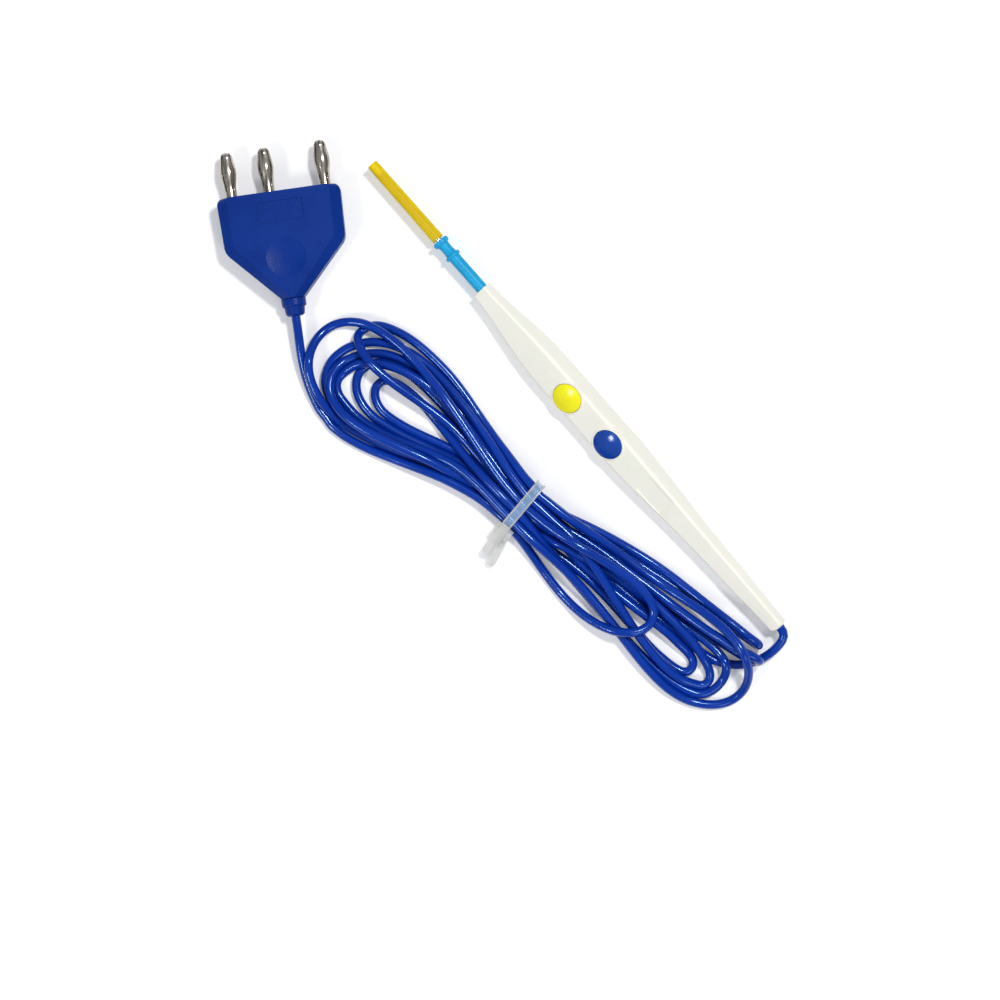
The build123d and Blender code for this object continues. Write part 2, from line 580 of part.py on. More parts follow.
def pin_cage(x):
    """A bulged barrel, slotted crosswise from its tip into four leaves that stay joined at the root."""
    inner = CORE_PIN_RADIUS + SET_FIT
    root = -PIN_ROOT_LENGTH + SET_FIT
    shoulder = PIN_LENGTH - PIN_TIP_RADIUS
    outer = [Line((PIN_NECK_RADIUS, root), (PIN_NECK_RADIUS, PIN_NECK_LENGTH)),
             Spline((PIN_NECK_RADIUS, PIN_NECK_LENGTH), (PIN_CREST_RADIUS, PIN_CREST_AT),
                    (PIN_TIP_RADIUS, shoulder), tangents=((0, 1), (-PIN_TIP_RADIUS / PIN_LENGTH, 1))),
             RadiusArc((PIN_TIP_RADIUS, shoulder), (inner / 2, PIN_LENGTH), -PIN_TIP_RADIUS)]
    tip_floor = shoulder + (PIN_TIP_RADIUS - LEAF_THICKNESS) / 2
    inside = [Line((inner / 2, PIN_LENGTH), (inner / 2, tip_floor)),
              Line((inner / 2, tip_floor), (PIN_TIP_RADIUS - LEAF_THICKNESS, shoulder)),
              Spline((PIN_TIP_RADIUS - LEAF_THICKNESS, shoulder),
                     (PIN_CREST_RADIUS - LEAF_THICKNESS, PIN_CREST_AT), (inner, PIN_NECK_LENGTH)),
              Line((inner, PIN_NECK_LENGTH), (inner, root)), Line((inner, root), (PIN_NECK_RADIUS, root))]
    cage = revolve(make_face([e for c in outer + inside for e in c.edges()]), Axis.Y)
    for turn in (45, 135):
        cut = Box(2 * PIN_CREST_RADIUS + OVERRUN, PIN_LENGTH, SLOT_WIDTH,
                  align=(Align.CENTER, Align.MIN, Align.CENTER))
        cage -= Rot(0, turn, 0) * Pos(0, PIN_NECK_LENGTH, 0) * cut
    return Pos(x, 0, PLUG_THICKNESS / 2) * cage


def hank_section(x, low, high, bottom, height, corner):
    """One cross-section of the hank, as a rounded block between two edges."""
    plane = Plane(origin=(x, (low + high) / 2, bottom + height / 2), x_dir=(0, 1, 0), z_dir=(1, 0, 0))
    return plane * RectangleRounded(high - low, height, corner)


def waist_section(x, grow=0.0):
    """The bundle's section where the tie holds it."""
    half = BUNDLE_WIDTH / 2 + grow
    return hank_section(x, BUNDLE_CENTRE - half, BUNDLE_CENTRE + half, TIE_THICKNESS - grow,
                        BUNDLE_HEIGHT + 2 * grow, BUNDLE_CORNER + grow)


def cord_hank():
    """The hank's outer form: two fanned lobes and the waist that the tie holds."""
    right, left = TIE_AT - TIE_WIDTH / 2, TIE_AT + TIE_WIDTH / 2
    waist = extrude(waist_section(right), TIE_WIDTH)
    lobes = []
    for start, lobe in ((left, LEFT_LOBE), (right, RIGHT_LOBE)):
        sections = [waist_section(start)]
        for x, low, high, height in lobe:
            sections.append(hank_section(x, low, high, 0.0, height, LOBE_CORNER_SHARE * height))
        lobes.append(loft(sections))
    return lobes[0] + waist + lobes[1]


def rounded_tab(length):
    """A flat strip with a round end, from the origin along y."""
    straight = length - TAB_END_RADIUS
    strip = Pos(0, straight / 2, 0) * Rectangle(2 * TAB_END_RADIUS, straight)
    return extrude(strip + Pos(0, straight, 0) * Circle(TAB_END_RADIUS), TAB_PLATE)


def cord_tie(hank):
    """The strap round the bundle, its head, and the two rounded tabs that lie past it."""
    start = TIE_AT - TIE_WIDTH / 2
    strap = extrude(waist_section(start, TIE_THICKNESS), TIE_WIDTH)
    strap -= extrude(waist_section(start), TIE_WIDTH)
    side = BUNDLE_CENTRE + BUNDLE_WIDTH / 2
    head = extrude(RectangleRounded(HEAD_WIDTH, HEAD_LENGTH, HEAD_CORNER), TAB_PLATE)
    upper = rounded_tab(UPPER_TAB_LENGTH) + Pos(0, HEAD_LENGTH / 2, 0) * head
    upper = Rot(-UPPER_TAB_DROP, 0, UPPER_TAB_TURN) * upper
    lower = Rot(0, 0, LOWER_TAB_TURN) * rounded_tab(LOWER_TAB_LENGTH)
    tabs = Pos(TIE_AT, side + TIE_THICKNESS - TAB_SINK, UPPER_TAB_HEIGHT) * upper
    tabs += Pos(TIE_AT - LOWER_TAB_SIDE, side - TAB_SINK, 0) * lower
    return strap + (tabs - hank)


def main():
    """Builds each piece, lays it where it rests, and writes it to its own file."""
    form = handle_form()
    cavity = body_loft(WALL, CAVITY_FRONT, CAVITY_REAR)
    bores = handle_bores()
    handle = {
        "top_shell": top_shell(form, cavity, bores), "bottom_shell": bottom_shell(form, cavity, bores),
        "circuit_board": circuit_board(), "electrode_socket": electrode_socket(),
        "blade_electrode": blade_electrode(), "electrode_sleeve": electrode_sleeve(),
        "blade_cover": blade_cover(), "crimp_ring": crimp_ring(), "cord_in_handle": cord_in_handle(),
        **wires(),
    }
    for name, depth in BUTTON_DEPTHS.items():
        handle[name + "_button"] = button(depth)
        handle[name + "_dome"] = snap_dome(depth)
    rolled = {name: Rot(-REST_ROLL, 0, 0) * shape for name, shape in handle.items()}
    box = Compound(children=[Compound(s.solids()) for s in rolled.values()]).bounding_box()
    rest = Vector(0, -(box.min.Y + box.max.Y) / 2, -box.min.Z)
    nodes = {name: Pos(rest) * shape for name, shape in rolled.items()}

    plug_at = Pos(*PLUG_TOP_AT, 0) * Rot(0, 0, PLUG_TURN)
    nodes["plug_body"] = plug_at * plug_body()
    for k, x in enumerate(pin_places(), 1):
        nodes[f"pin_core_{k}"] = plug_at * pin_core(x)
        nodes[f"pin_cage_{k}"] = plug_at * pin_cage(x)

    nodes["cord_hank"] = cord_hank()
    nodes["cord_tie"] = cord_tie(nodes["cord_hank"])
    outlet, lead = (TAIL_X, rest.Y, rest.Z), (TAIL_X - PENCIL_TAIL_RUN, rest.Y, rest.Z)
    plug_mouth = plug_at * Pos(0, -collar_end(), PLUG_THICKNESS / 2)
    plug_lead = plug_at * Pos(0, -collar_end() - PLUG_TAIL_RUN, PLUG_THICKNESS / 2)
    routes = {
        "cord_pencil_tail": [outlet, lead, *PENCIL_TAIL_END],
        "cord_plug_tail": [tuple(plug_mouth.position), tuple(plug_lead.position), *PLUG_TAIL_END],
    }
    for name, points in routes.items():
        nodes[name], length, radii, match = tube(points, CORD_RADIUS)
        print(name, "length", round(length, 1), "radii", radii, "volume share", round(match, 4))
        print(name, "points", [tuple(round(c, 2) for c in p) for p in points])

    print("handle axis at y, z", round(rest.Y, 3), round(rest.Z, 3), "nose x", round(NOSE_X, 2))
    for name, shape in nodes.items():
        solids = shape.solids()
        export_step(Compound(solids) if len(solids) > 1 else solids[0], f"parts/{name}.step")


main()
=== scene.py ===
import logging
import math
from dataclasses import dataclass, field
from enum import Enum
from typing import Any, Iterable, Sequence

import bmesh
import bpy
import numpy as np
from mathutils import Matrix, Vector


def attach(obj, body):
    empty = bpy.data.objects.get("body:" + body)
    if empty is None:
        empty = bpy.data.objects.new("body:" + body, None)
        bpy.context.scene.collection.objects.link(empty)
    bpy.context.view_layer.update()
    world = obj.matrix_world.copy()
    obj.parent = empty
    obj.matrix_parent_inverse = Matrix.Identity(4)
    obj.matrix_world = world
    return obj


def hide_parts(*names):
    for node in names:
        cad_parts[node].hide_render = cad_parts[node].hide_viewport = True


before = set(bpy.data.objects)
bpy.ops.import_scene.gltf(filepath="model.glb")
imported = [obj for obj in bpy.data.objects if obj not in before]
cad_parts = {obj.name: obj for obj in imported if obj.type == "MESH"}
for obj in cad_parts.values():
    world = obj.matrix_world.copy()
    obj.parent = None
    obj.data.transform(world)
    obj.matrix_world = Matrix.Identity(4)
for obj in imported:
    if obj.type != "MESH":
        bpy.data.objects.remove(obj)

LOG = logging.getLogger("pencil")
HANDLE = "handle"
PINS = tuple(f"pin_{kind}_{number}" for kind in ("core", "cage") for number in (1, 2, 3))

# Added to a length, or to a product of two, before it divides
TINY = 1e-9
TINY_SQUARE = 1e-12

Colour = tuple[float, float, float]
Point = tuple[float, float, float]
Pixel = tuple[float, float]
Span = tuple[float, float]
Socket = bpy.types.NodeSocket


class Slot(Enum):
    """Names of material slots for the new pieces, which the script does not use."""

    CORD = "cord_blue"
    TIE = "tie_clear"


class Nylon(Enum):
    """The tie's two looks, by their place among its materials."""

    CLEAR = 0
    MILKY = 1


class Detail(Enum):
    """How many finer layers a noise has."""

    SLIGHT = 1.0
    LIGHT = 2.0
    MEDIUM = 3.0
    HEAVY = 4.0


def add_object(name: str, data: bpy.types.ID) -> bpy.types.Object:
    """Put data in the scene as a new object.

    Args:
        name: the object's name.
        data: its mesh, curve, lamp or camera.

    Returns:
        The object.
    """
    made = bpy.data.objects.new(name, data)
    bpy.context.scene.collection.objects.link(made)
    return made


def repaint(name: str, material: bpy.types.Material) -> None:
    """Give a solid that stays in view one material.

    Args:
        name: the solid's name.
        material: its new material.
    """
    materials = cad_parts[name].data.materials
    for number in range(len(materials)):
        materials[number] = material


@dataclass(frozen=True)
class PhotoMap:
    """Where a pixel of the photograph lies on the floor, or at a height above it.

    Attributes:
        pixels_per_metre: the photograph's scale on the floor.
        origin: the pixel of the part's origin.
        middle: the pixel under the camera.
        right: the photograph's right on the floor, as x and y.
        down: the photograph's down on the floor.
        distance: the camera's height above the floor, in metres.
    """

    pixels_per_metre: float = 2950.0
    origin: Pixel = (574.0, 397.8)
    middle: Pixel = (500.0, 500.0)
    right: Pixel = (-0.661, -0.750)
    down: Pixel = (-0.750, 0.661)
    distance: float = 0.9

    def floor(self, pixel: Pixel) -> tuple[float, float]:
        """Place of a pixel on the floor.

        Args:
            pixel: column and row in the photograph.

        Returns:
            x and y in metres.
        """
        across = (pixel[0] - self.origin[0]) / self.pixels_per_metre
        below = (pixel[1] - self.origin[1]) / self.pixels_per_metre
        return (self.right[0] * across + self.down[0] * below,
                self.right[1] * across + self.down[1] * below)

    def place(self, pixel: Pixel, height: float) -> Point:
        """Place at a height that the camera sees at a pixel.

        Args:
            pixel: column and row in the photograph.
            height: how far above the floor, in metres.

        Returns:
            The place in metres.
        """
        nearer = 1.0 - height / self.distance
        x, y = self.floor(pixel)
        under_x, under_y = self.floor(self.middle)
        return (under_x + (x - under_x) * nearer, under_y + (y - under_y) * nearer, height)


class Shader:
    """A node material under construction, with its main surface shader."""

    def __init__(self, name: str) -> None:
        """Start an empty material.

        Args:
            name: the material's name.
        """
        self.material = bpy.data.materials.new(name)
        self.material.use_nodes = True
        self.tree = self.material.node_tree
        self.tree.nodes.clear()
        self.surface = self.node("ShaderNodeBsdfPrincipled")
        self.output = self.node("ShaderNodeOutputMaterial")
        self.join(self.surface.outputs["BSDF"], self.output.inputs["Surface"])

    def node(self, kind: str, sockets: dict[Any, Any] | None = None,
             **settings: Any) -> bpy.types.Node:
        """Add one node.

        Args:
            kind: the node's type name.
            sockets: input values or source sockets by input name or number.
            settings: the node's own properties.

        Returns:
            The new node.
        """
        made = self.tree.nodes.new(kind)
        for key, value in settings.items():
            setattr(made, key, value)
        for key, value in (sockets or {}).items():
            self.feed(made.inputs[key], value)
        return made

    def join(self, source: Socket, target: Socket) -> None:
        """Link two sockets."""
        self.tree.links.new(source, target)

    def feed(self, target: Socket, value: Any) -> None:
        """Link a socket into an input, or set the input to a value.

        Args:
            target: the input.
            value: the source socket, number, vector or colour.
        """
        if isinstance(value, Socket):
            self.join(value, target)
        elif target.type == "RGBA":
            target.default_value = (*value, 1.0)
        else:
            target.default_value = value

    def finish(self, sockets: dict[str, Any]) -> None:
        """Set or link inputs of the main surface shader.

        Args:
            sockets: values or source sockets by input name.
        """
        for name, value in sockets.items():
            self.feed(self.surface.inputs[name], value)

    def place(self, stretch: Point = (1.0, 1.0, 1.0), turn: float = 0.0) -> Socket:
        """The surface's place, read along turned axes and then scaled.

        Args:
            stretch: what each axis is multiplied by.
            turn: how far about +Z the axes are turned, in radians.

        Returns:
            The place, in metres where nothing is stretched.
        """
        where = self.node("ShaderNodeTexCoord").outputs["Object"]
        sockets = {"Vector": where, "Rotation": (0.0, 0.0, turn),
                   "Scale": tuple(1.0 / side for side in stretch)}
        return self.node("ShaderNodeMapping", sockets, vector_type="TEXTURE").outputs["Vector"]

    def noise(self, size: float, detail: Detail, where: Socket | None = None,
              rough: float = 0.5) -> Socket:
        """Cloudy noise.

        Args:
            size: the size of its patches in metres.
            detail: how many finer layers it has.
            where: the place that it reads, or None for the surface's own.
            rough: how strong the finer layers are.

        Returns:
            The noise as a number from 0 to 1.
        """
        source = self.place() if where is None else where
        sockets = {"Vector": source, "Scale": 1.0 / size, "Detail": detail.value,
                   "Roughness": rough}
        return self.node("ShaderNodeTexNoise", sockets).outputs["Fac"]

    def ramp(self, amount: Socket, stops: Span, low: Colour, high: Colour) -> Socket:
        """A colour that changes along a number.

        Args:
            amount: the number.
            stops: where the change starts and ends.
            low: the colour up to its start.
            high: the colour from its end.

        Returns:
            The colour.
        """
        made = self.node("ShaderNodeValToRGB", {"Fac": amount})
        for stop, where, colour in zip(made.color_ramp.elements, stops, (low, high)):
            stop.position = where
            stop.color = (*colour, 1.0)
        return made.outputs["Color"]

    def spread(self, amount: Socket, low: float, high: float,
               start: float = 0.25, end: float = 0.75) -> Socket:
        """Stretch a number from one range to another, and stop at its ends.

        Args:
            amount: the number.
            low: what it becomes at the start.
            high: what it becomes at the end.
            start: where its own range starts.
            end: where its own range ends.

        Returns:
            The stretched number.
        """
        sockets = {"Value": amount, "From Min": start, "From Max": end,
                   "To Min": low, "To Max": high}
        return self.node("ShaderNodeMapRange", sockets).outputs["Result"]

    def maths(self, operation: str, first: Any, second: Any = 0.0) -> Socket:
        """One sum on one or two numbers."""
        sockets = {0: first, 1: second}
        return self.node("ShaderNodeMath", sockets, operation=operation).outputs["Value"]

    def wave(self, amount: Socket, rate: float) -> Socket:
        """The sine of a number times a rate."""
        return self.maths("SINE", self.maths("MULTIPLY", amount, rate))

    def mix(self, amount: Socket, first: Any, second: Any) -> Socket:
        """A colour between two."""
        sockets = {"Factor": amount, "A": first, "B": second}
        return self.node("ShaderNodeMix", sockets, data_type="RGBA").outputs["Result"]

    def bump(self, height: Socket, rise: float, under: Socket | None = None) -> Socket:
        """A bumped normal.

        Args:
            height: the height pattern, from 0 to 1.
            rise: how high 1 is, in metres.
            under: an earlier bumped normal to build on.

        Returns:
            The normal.
        """
        sockets = {"Height": height, "Distance": rise, "Strength": 1.0}
        if under is not None:
            sockets["Normal"] = under
        return self.node("ShaderNodeBump", sockets).outputs["Normal"]

    def parts(self, where: Socket) -> tuple[Socket, Socket, Socket]:
        """The x, y and z of a vector."""
        made = self.node("ShaderNodeSeparateXYZ", {"Vector": where})
        return made.outputs["X"], made.outputs["Y"], made.outputs["Z"]


@dataclass(frozen=True)
class Finish:
    """What all finishes share: a name and a way to become a material."""

    name: str

    def material(self) -> bpy.types.Material:
        """The finish as a node material.

        Returns:
            The material.
        """
        shader = Shader(self.name)
        self.dress(shader)
        return shader.material

    def dress(self, shader: Shader) -> Socket:
        """Colour, gloss and relief, which each kind of finish gives.

        Args:
            shader: the material under construction.

        Returns:
            The bumped normal, for finishes that add to it.
        """
        raise NotImplementedError


@dataclass(frozen=True)
class Plastic(Finish):
    """A moulded or extruded plastic.

    Attributes:
        colour: its main colour.
        deep: its colour where it is a little deeper.
        cloud: where in the cloud the one changes to the other.
        mottle: the size of the cloud's patches.
        grain: the size of the surface's grain.
        grain_rise: the grain's height.
        grain_bite: how strong the grain's finer layers are.
        ripple: the size of the slow waves that a mould leaves.
        ripple_rise: the waves' height.
        roughness: the lowest and highest roughness.
        shine: the strength of its highlights.
        tint: the colour of its highlights.
        coat: the strength of a glossy coat.
        coat_roughness: the coat's roughness.
        glow: how much light passes under its surface.
        glow_depth: how deep that light goes.
        index: how strongly it bends light.
        cover: how much it hides what lies behind it.
    """

    colour: Colour
    deep: Colour
    cloud: Span = (0.3, 0.62)
    mottle: float = 0.012
    grain: float = 0.00035
    grain_rise: float = 0.000012
    grain_bite: float = 0.6
    ripple: float = 0.004
    ripple_rise: float = 0.00002
    roughness: Span = (0.32, 0.42)
    shine: float = 0.5
    tint: Colour = (1.0, 1.0, 1.0)
    coat: float = 0.0
    coat_roughness: float = 0.12
    glow: float = 0.0
    glow_depth: float = 0.001
    index: float = 1.5
    cover: float = 1.0

    def dress(self, shader: Shader) -> Socket:
        """Colour, gloss and grain.

        Args:
            shader: the material under construction.

        Returns:
            The bumped normal, for finishes that add to it.
        """
        cloud = shader.noise(self.mottle, Detail.HEAVY)
        fine = shader.noise(self.grain, Detail.LIGHT, rough=self.grain_bite)
        slow = shader.noise(self.ripple, Detail.SLIGHT)
        normal = shader.bump(slow, self.ripple_rise, shader.bump(fine, self.grain_rise))
        shader.finish({
            "Base Color": shader.ramp(cloud, self.cloud, self.deep, self.colour),
            "Roughness": shader.spread(cloud, *self.roughness),
            "Specular IOR Level": self.shine,
            "Specular Tint": self.tint,
            "Coat Weight": self.coat,
            "Coat Roughness": self.coat_roughness,
            "Subsurface Weight": self.glow,
            "Subsurface Scale": self.glow_depth,
            "IOR": self.index,
            "Alpha": self.cover,
            "Normal": normal,
        })
        return normal


@dataclass(frozen=True)
class RidgedPlastic(Plastic):
    """An extruded tube with fine ridges along it, and a darker band of painted shade where the
    blade shows through.

    Attributes:
        axis: the y and z of the tube's middle line.
        ridges: how fast the ridges follow each other, per radian.
        ridge_rise: the ridges' height.
        band: the painted shade of the blade seen through the tube.
        band_share: how far the tube's colour gives way to it.
        band_side: how far beside the middle line the band starts and ends to fade.
        band_end: the x between which the band fades at the blade's tip.
    """

    axis: Span = (-0.000751, 0.006184)
    ridges: float = 14.0
    ridge_rise: float = 0.00006
    band: Colour = (0.58, 0.38, 0.001)
    band_share: float = 0.8
    band_side: Span = (0.000525, 0.00147)
    band_end: Span = (0.0986, 0.1001)

    def dress(self, shader: Shader) -> Socket:
        """Plastic, with its ridges and painted blade shade along the tube.

        Args:
            shader: the material under construction.

        Returns:
            The bumped normal.
        """
        under = super().dress(shader)
        tone = shader.surface.inputs["Base Color"].links[0].from_socket
        x, y, z = shader.parts(shader.place())
        side = shader.maths("SUBTRACT", y, self.axis[0])
        up = shader.maths("SUBTRACT", z, self.axis[1])
        off = shader.maths("ABSOLUTE", side)
        beside = shader.spread(off, self.band_share, 0.0, *self.band_side)
        along = shader.spread(x, 1.0, 0.0, *self.band_end)
        wave = shader.wave(shader.maths("ARCTAN2", up, side), self.ridges)
        normal = shader.bump(shader.spread(wave, 0.0, 1.0, -1.0, 1.0), self.ridge_rise, under)
        # The blade's shade seen through the tube is painted into the colour
        blade_shaded = shader.mix(shader.maths("MULTIPLY", beside, along), tone, self.band)
        shader.finish({"Base Color": blade_shaded, "Normal": normal})
        return normal


@dataclass(frozen=True)
class Metal(Finish):
    """A drawn, turned or rolled metal with streaks, faint smudges and, on the pins, painted dark
    reflections.

    Attributes:
        colour: its main colour.
        smudge_and_dark_reflection: its darker colour in the cloud's patches, which are faint
            smudges, and on the pins painted dark reflections streaked along them.
        cloud: where in the cloud the one changes to the other.
        roughness: the lowest and highest roughness.
        gloss: where in streaks and cloud the roughness starts and stops to rise.
        streak: how fine the streaks are along x, y and z, per metre.
        streak_rise: the streaks' height.
        patch: how fine the cloud's patches are along x, y and z, per metre.
        turn: how far about +Z the piece lies turned, in radians.
    """

    colour: Colour
    smudge_and_dark_reflection: Colour
    cloud: Span = (0.3, 0.6)
    roughness: Span = (0.16, 0.32)
    gloss: Span = (0.35, 0.65)
    streak: Point = (60.0, 2500.0, 2500.0)
    streak_rise: float = 0.000004
    patch: Point = (400.0, 400.0, 400.0)
    turn: float = 0.0

    def dress(self, shader: Shader) -> Socket:
        """Colour, gloss and streaks.

        Args:
            shader: the material under construction.

        Returns:
            The bumped normal.
        """
        lines = shader.noise(1.0, Detail.MEDIUM, shader.place(self.streak, self.turn))
        cloud = shader.noise(1.0, Detail.HEAVY, shader.place(self.patch, self.turn))
        mean = shader.maths("MULTIPLY", shader.maths("ADD", lines, cloud), 0.5)
        normal = shader.bump(lines, self.streak_rise)
        shader.finish({
            # The cloud's darker colour is faint smudges, and on the pins painted dark reflections
            "Base Color": shader.ramp(cloud, self.cloud, self.smudge_and_dark_reflection, self.colour),
            "Metallic": 1.0,
            "Roughness": shader.spread(mean, *self.roughness, *self.gloss),
            "Normal": normal,
        })
        return normal


@dataclass(frozen=True)
class Laminate(Finish):
    """The circuit board's green lacquer over tracks and woven glass.

    Attributes:
        name: the material's name.
        colour: the lacquer's colour.
        track: its colour over a track.
        track_pitch: how far apart the tracks are.
        track_edge: where on a track's wave its edge starts and ends.
        track_rise: the tracks' height.
        weave: how far apart the cloth's threads are.
        weave_rise: the threads' height.
        mottle: the size of the patches of gloss.
        roughness: the lowest and highest roughness.
    """

    name: str = "board_lacquer"
    colour: Colour = (0.012, 0.16, 0.07)
    track: Colour = (0.03, 0.28, 0.12)
    track_pitch: float = 0.0026
    track_edge: Span = (0.45, 0.6)
    track_rise: float = 0.00003
    weave: float = 0.0006
    weave_rise: float = 0.00001
    mottle: float = 0.001
    roughness: Span = (0.25, 0.4)

    def dress(self, shader: Shader) -> Socket:
        """Colour, gloss, tracks and weave.

        Args:
            shader: the material under construction.

        Returns:
            The bumped normal.
        """
        x, y, _ = shader.parts(shader.place())
        warp, weft = (shader.wave(way, math.tau / self.weave) for way in (x, y))
        cloth = shader.spread(shader.maths("MULTIPLY", warp, weft), 0.0, 1.0, -1.0, 1.0)
        bands = shader.wave(y, math.tau / self.track_pitch)
        tracks = shader.spread(bands, 0.0, 1.0, *self.track_edge)
        gloss = shader.noise(self.mottle, Detail.LIGHT)
        normal = shader.bump(tracks, self.track_rise, shader.bump(cloth, self.weave_rise))
        shader.finish({
            "Base Color": shader.mix(tracks, self.colour, self.track),
            "Roughness": shader.spread(gloss, *self.roughness),
            "Normal": normal,
        })
        return normal


WHITE_SHELL = Plastic("shell_white", (0.88, 0.865, 0.775), (0.85, 0.835, 0.745), mottle=0.03,
                      grain=0.0003, grain_rise=0.00001, roughness=(0.52, 0.62), shine=0.22,
                      glow=0.15, glow_depth=0.0012)
YELLOW_BUTTON = Plastic("button_yellow", (0.93, 0.88, 0.012), (0.88, 0.80, 0.01), mottle=0.006,
                        roughness=(0.14, 0.2), shine=0.45, glow=0.1)
BLUE_BUTTON = Plastic("button_blue", (0.006, 0.058, 0.36), (0.005, 0.047, 0.31), mottle=0.006,
                      roughness=(0.12, 0.18), shine=0.45)
BLUE_SLEEVE = Plastic("sleeve_light_blue", (0.003, 0.36, 0.66), (0.002, 0.30, 0.59), mottle=0.006,
                      roughness=(0.34, 0.44), shine=0.22, glow=0.1)
YELLOW_TUBE = RidgedPlastic("tube_yellow", (0.74, 0.55, 0.001), (0.68, 0.48, 0.001), mottle=0.004,
                            roughness=(0.26, 0.36), shine=0.1)
STEEL = Metal("blade_steel", (0.72, 0.72, 0.73), (0.62, 0.62, 0.63))
BRASS = Metal("socket_brass", (0.80, 0.60, 0.28), (0.66, 0.47, 0.20))
DOME_STEEL = Metal("dome_steel", (0.75, 0.75, 0.76), (0.66, 0.66, 0.67),
                   streak=(2500.0, 60.0, 2500.0))
# The pins' dark colour, streaked along them, is painted dark reflection
NICKEL = Metal("pin_nickel", (0.62, 0.57, 0.50), (0.15, 0.125, 0.105), roughness=(0.16, 0.3),
               streak=(200.0, 1500.0, 1500.0), patch=(70.0, 950.0, 950.0), turn=math.radians(-33.4))
CRIMP = Metal("crimp_tin", (0.70, 0.70, 0.71), (0.60, 0.60, 0.61), streak=(2500.0, 200.0, 200.0))
CORE_RED = Plastic("core_red", (0.55, 0.02, 0.02), (0.48, 0.015, 0.015), grain=0.0002)
CORE_WHITE = Plastic("core_white", (0.75, 0.75, 0.73), (0.70, 0.70, 0.68), grain=0.0002)
CORE_BLACK = Plastic("core_black", (0.02, 0.02, 0.022), (0.015, 0.015, 0.017), grain=0.0002)
PLUG_BLUE = Plastic("plug_vinyl", (0.0006, 0.027, 0.225), (0.0004, 0.022, 0.19), mottle=0.015,
                    grain=0.0005, grain_rise=0.00006, roughness=(0.3, 0.42), shine=0.12)
CORD_BLUE = Plastic("cord_vinyl", (0.0005, 0.032, 0.325), (0.0003, 0.025, 0.27), mottle=0.02,
                    grain=0.0006, grain_rise=0.000004, roughness=(0.14, 0.2), shine=0.45,
                    tint=(0.55, 0.82, 1.0), coat=0.03)
CLEAR_TIE = Plastic("tie_nylon", (0.44, 0.66, 0.90), (0.36, 0.56, 0.80), mottle=0.003, grain=0.0012,
                    grain_rise=0.000003, roughness=(0.14, 0.22), cover=0.28)
MILKY_TIE = Plastic("tie_milky_nylon", (0.70, 0.70, 0.68), (0.60, 0.60, 0.58), mottle=0.003,
                    grain=0.0012, grain_rise=0.000003, roughness=(0.2, 0.3), cover=0.5)


@dataclass(frozen=True)
class Lamp:
    """One square lamp.

    Attributes:
        name: its name.
        place: where it hangs, in metres.
        side: the length of its side.
        power: its power in watts.
    """

    name: str
    place: Point
    side: float
    power: float

    def hang(self, aim: Point) -> None:
        """Hang the lamp in the scene.

        Args:
            aim: the point that it faces.
        """
        data = bpy.data.lights.new(self.name, "AREA")
        data.shape = "SQUARE"
        data.size = self.side
        data.energy = self.power
        made = add_object(self.name, data)
        made.location = self.place
        made.rotation_mode = "QUATERNION"
        made.rotation_quaternion = (Vector(aim) - Vector(self.place)).to_track_quat("-Z", "Y")


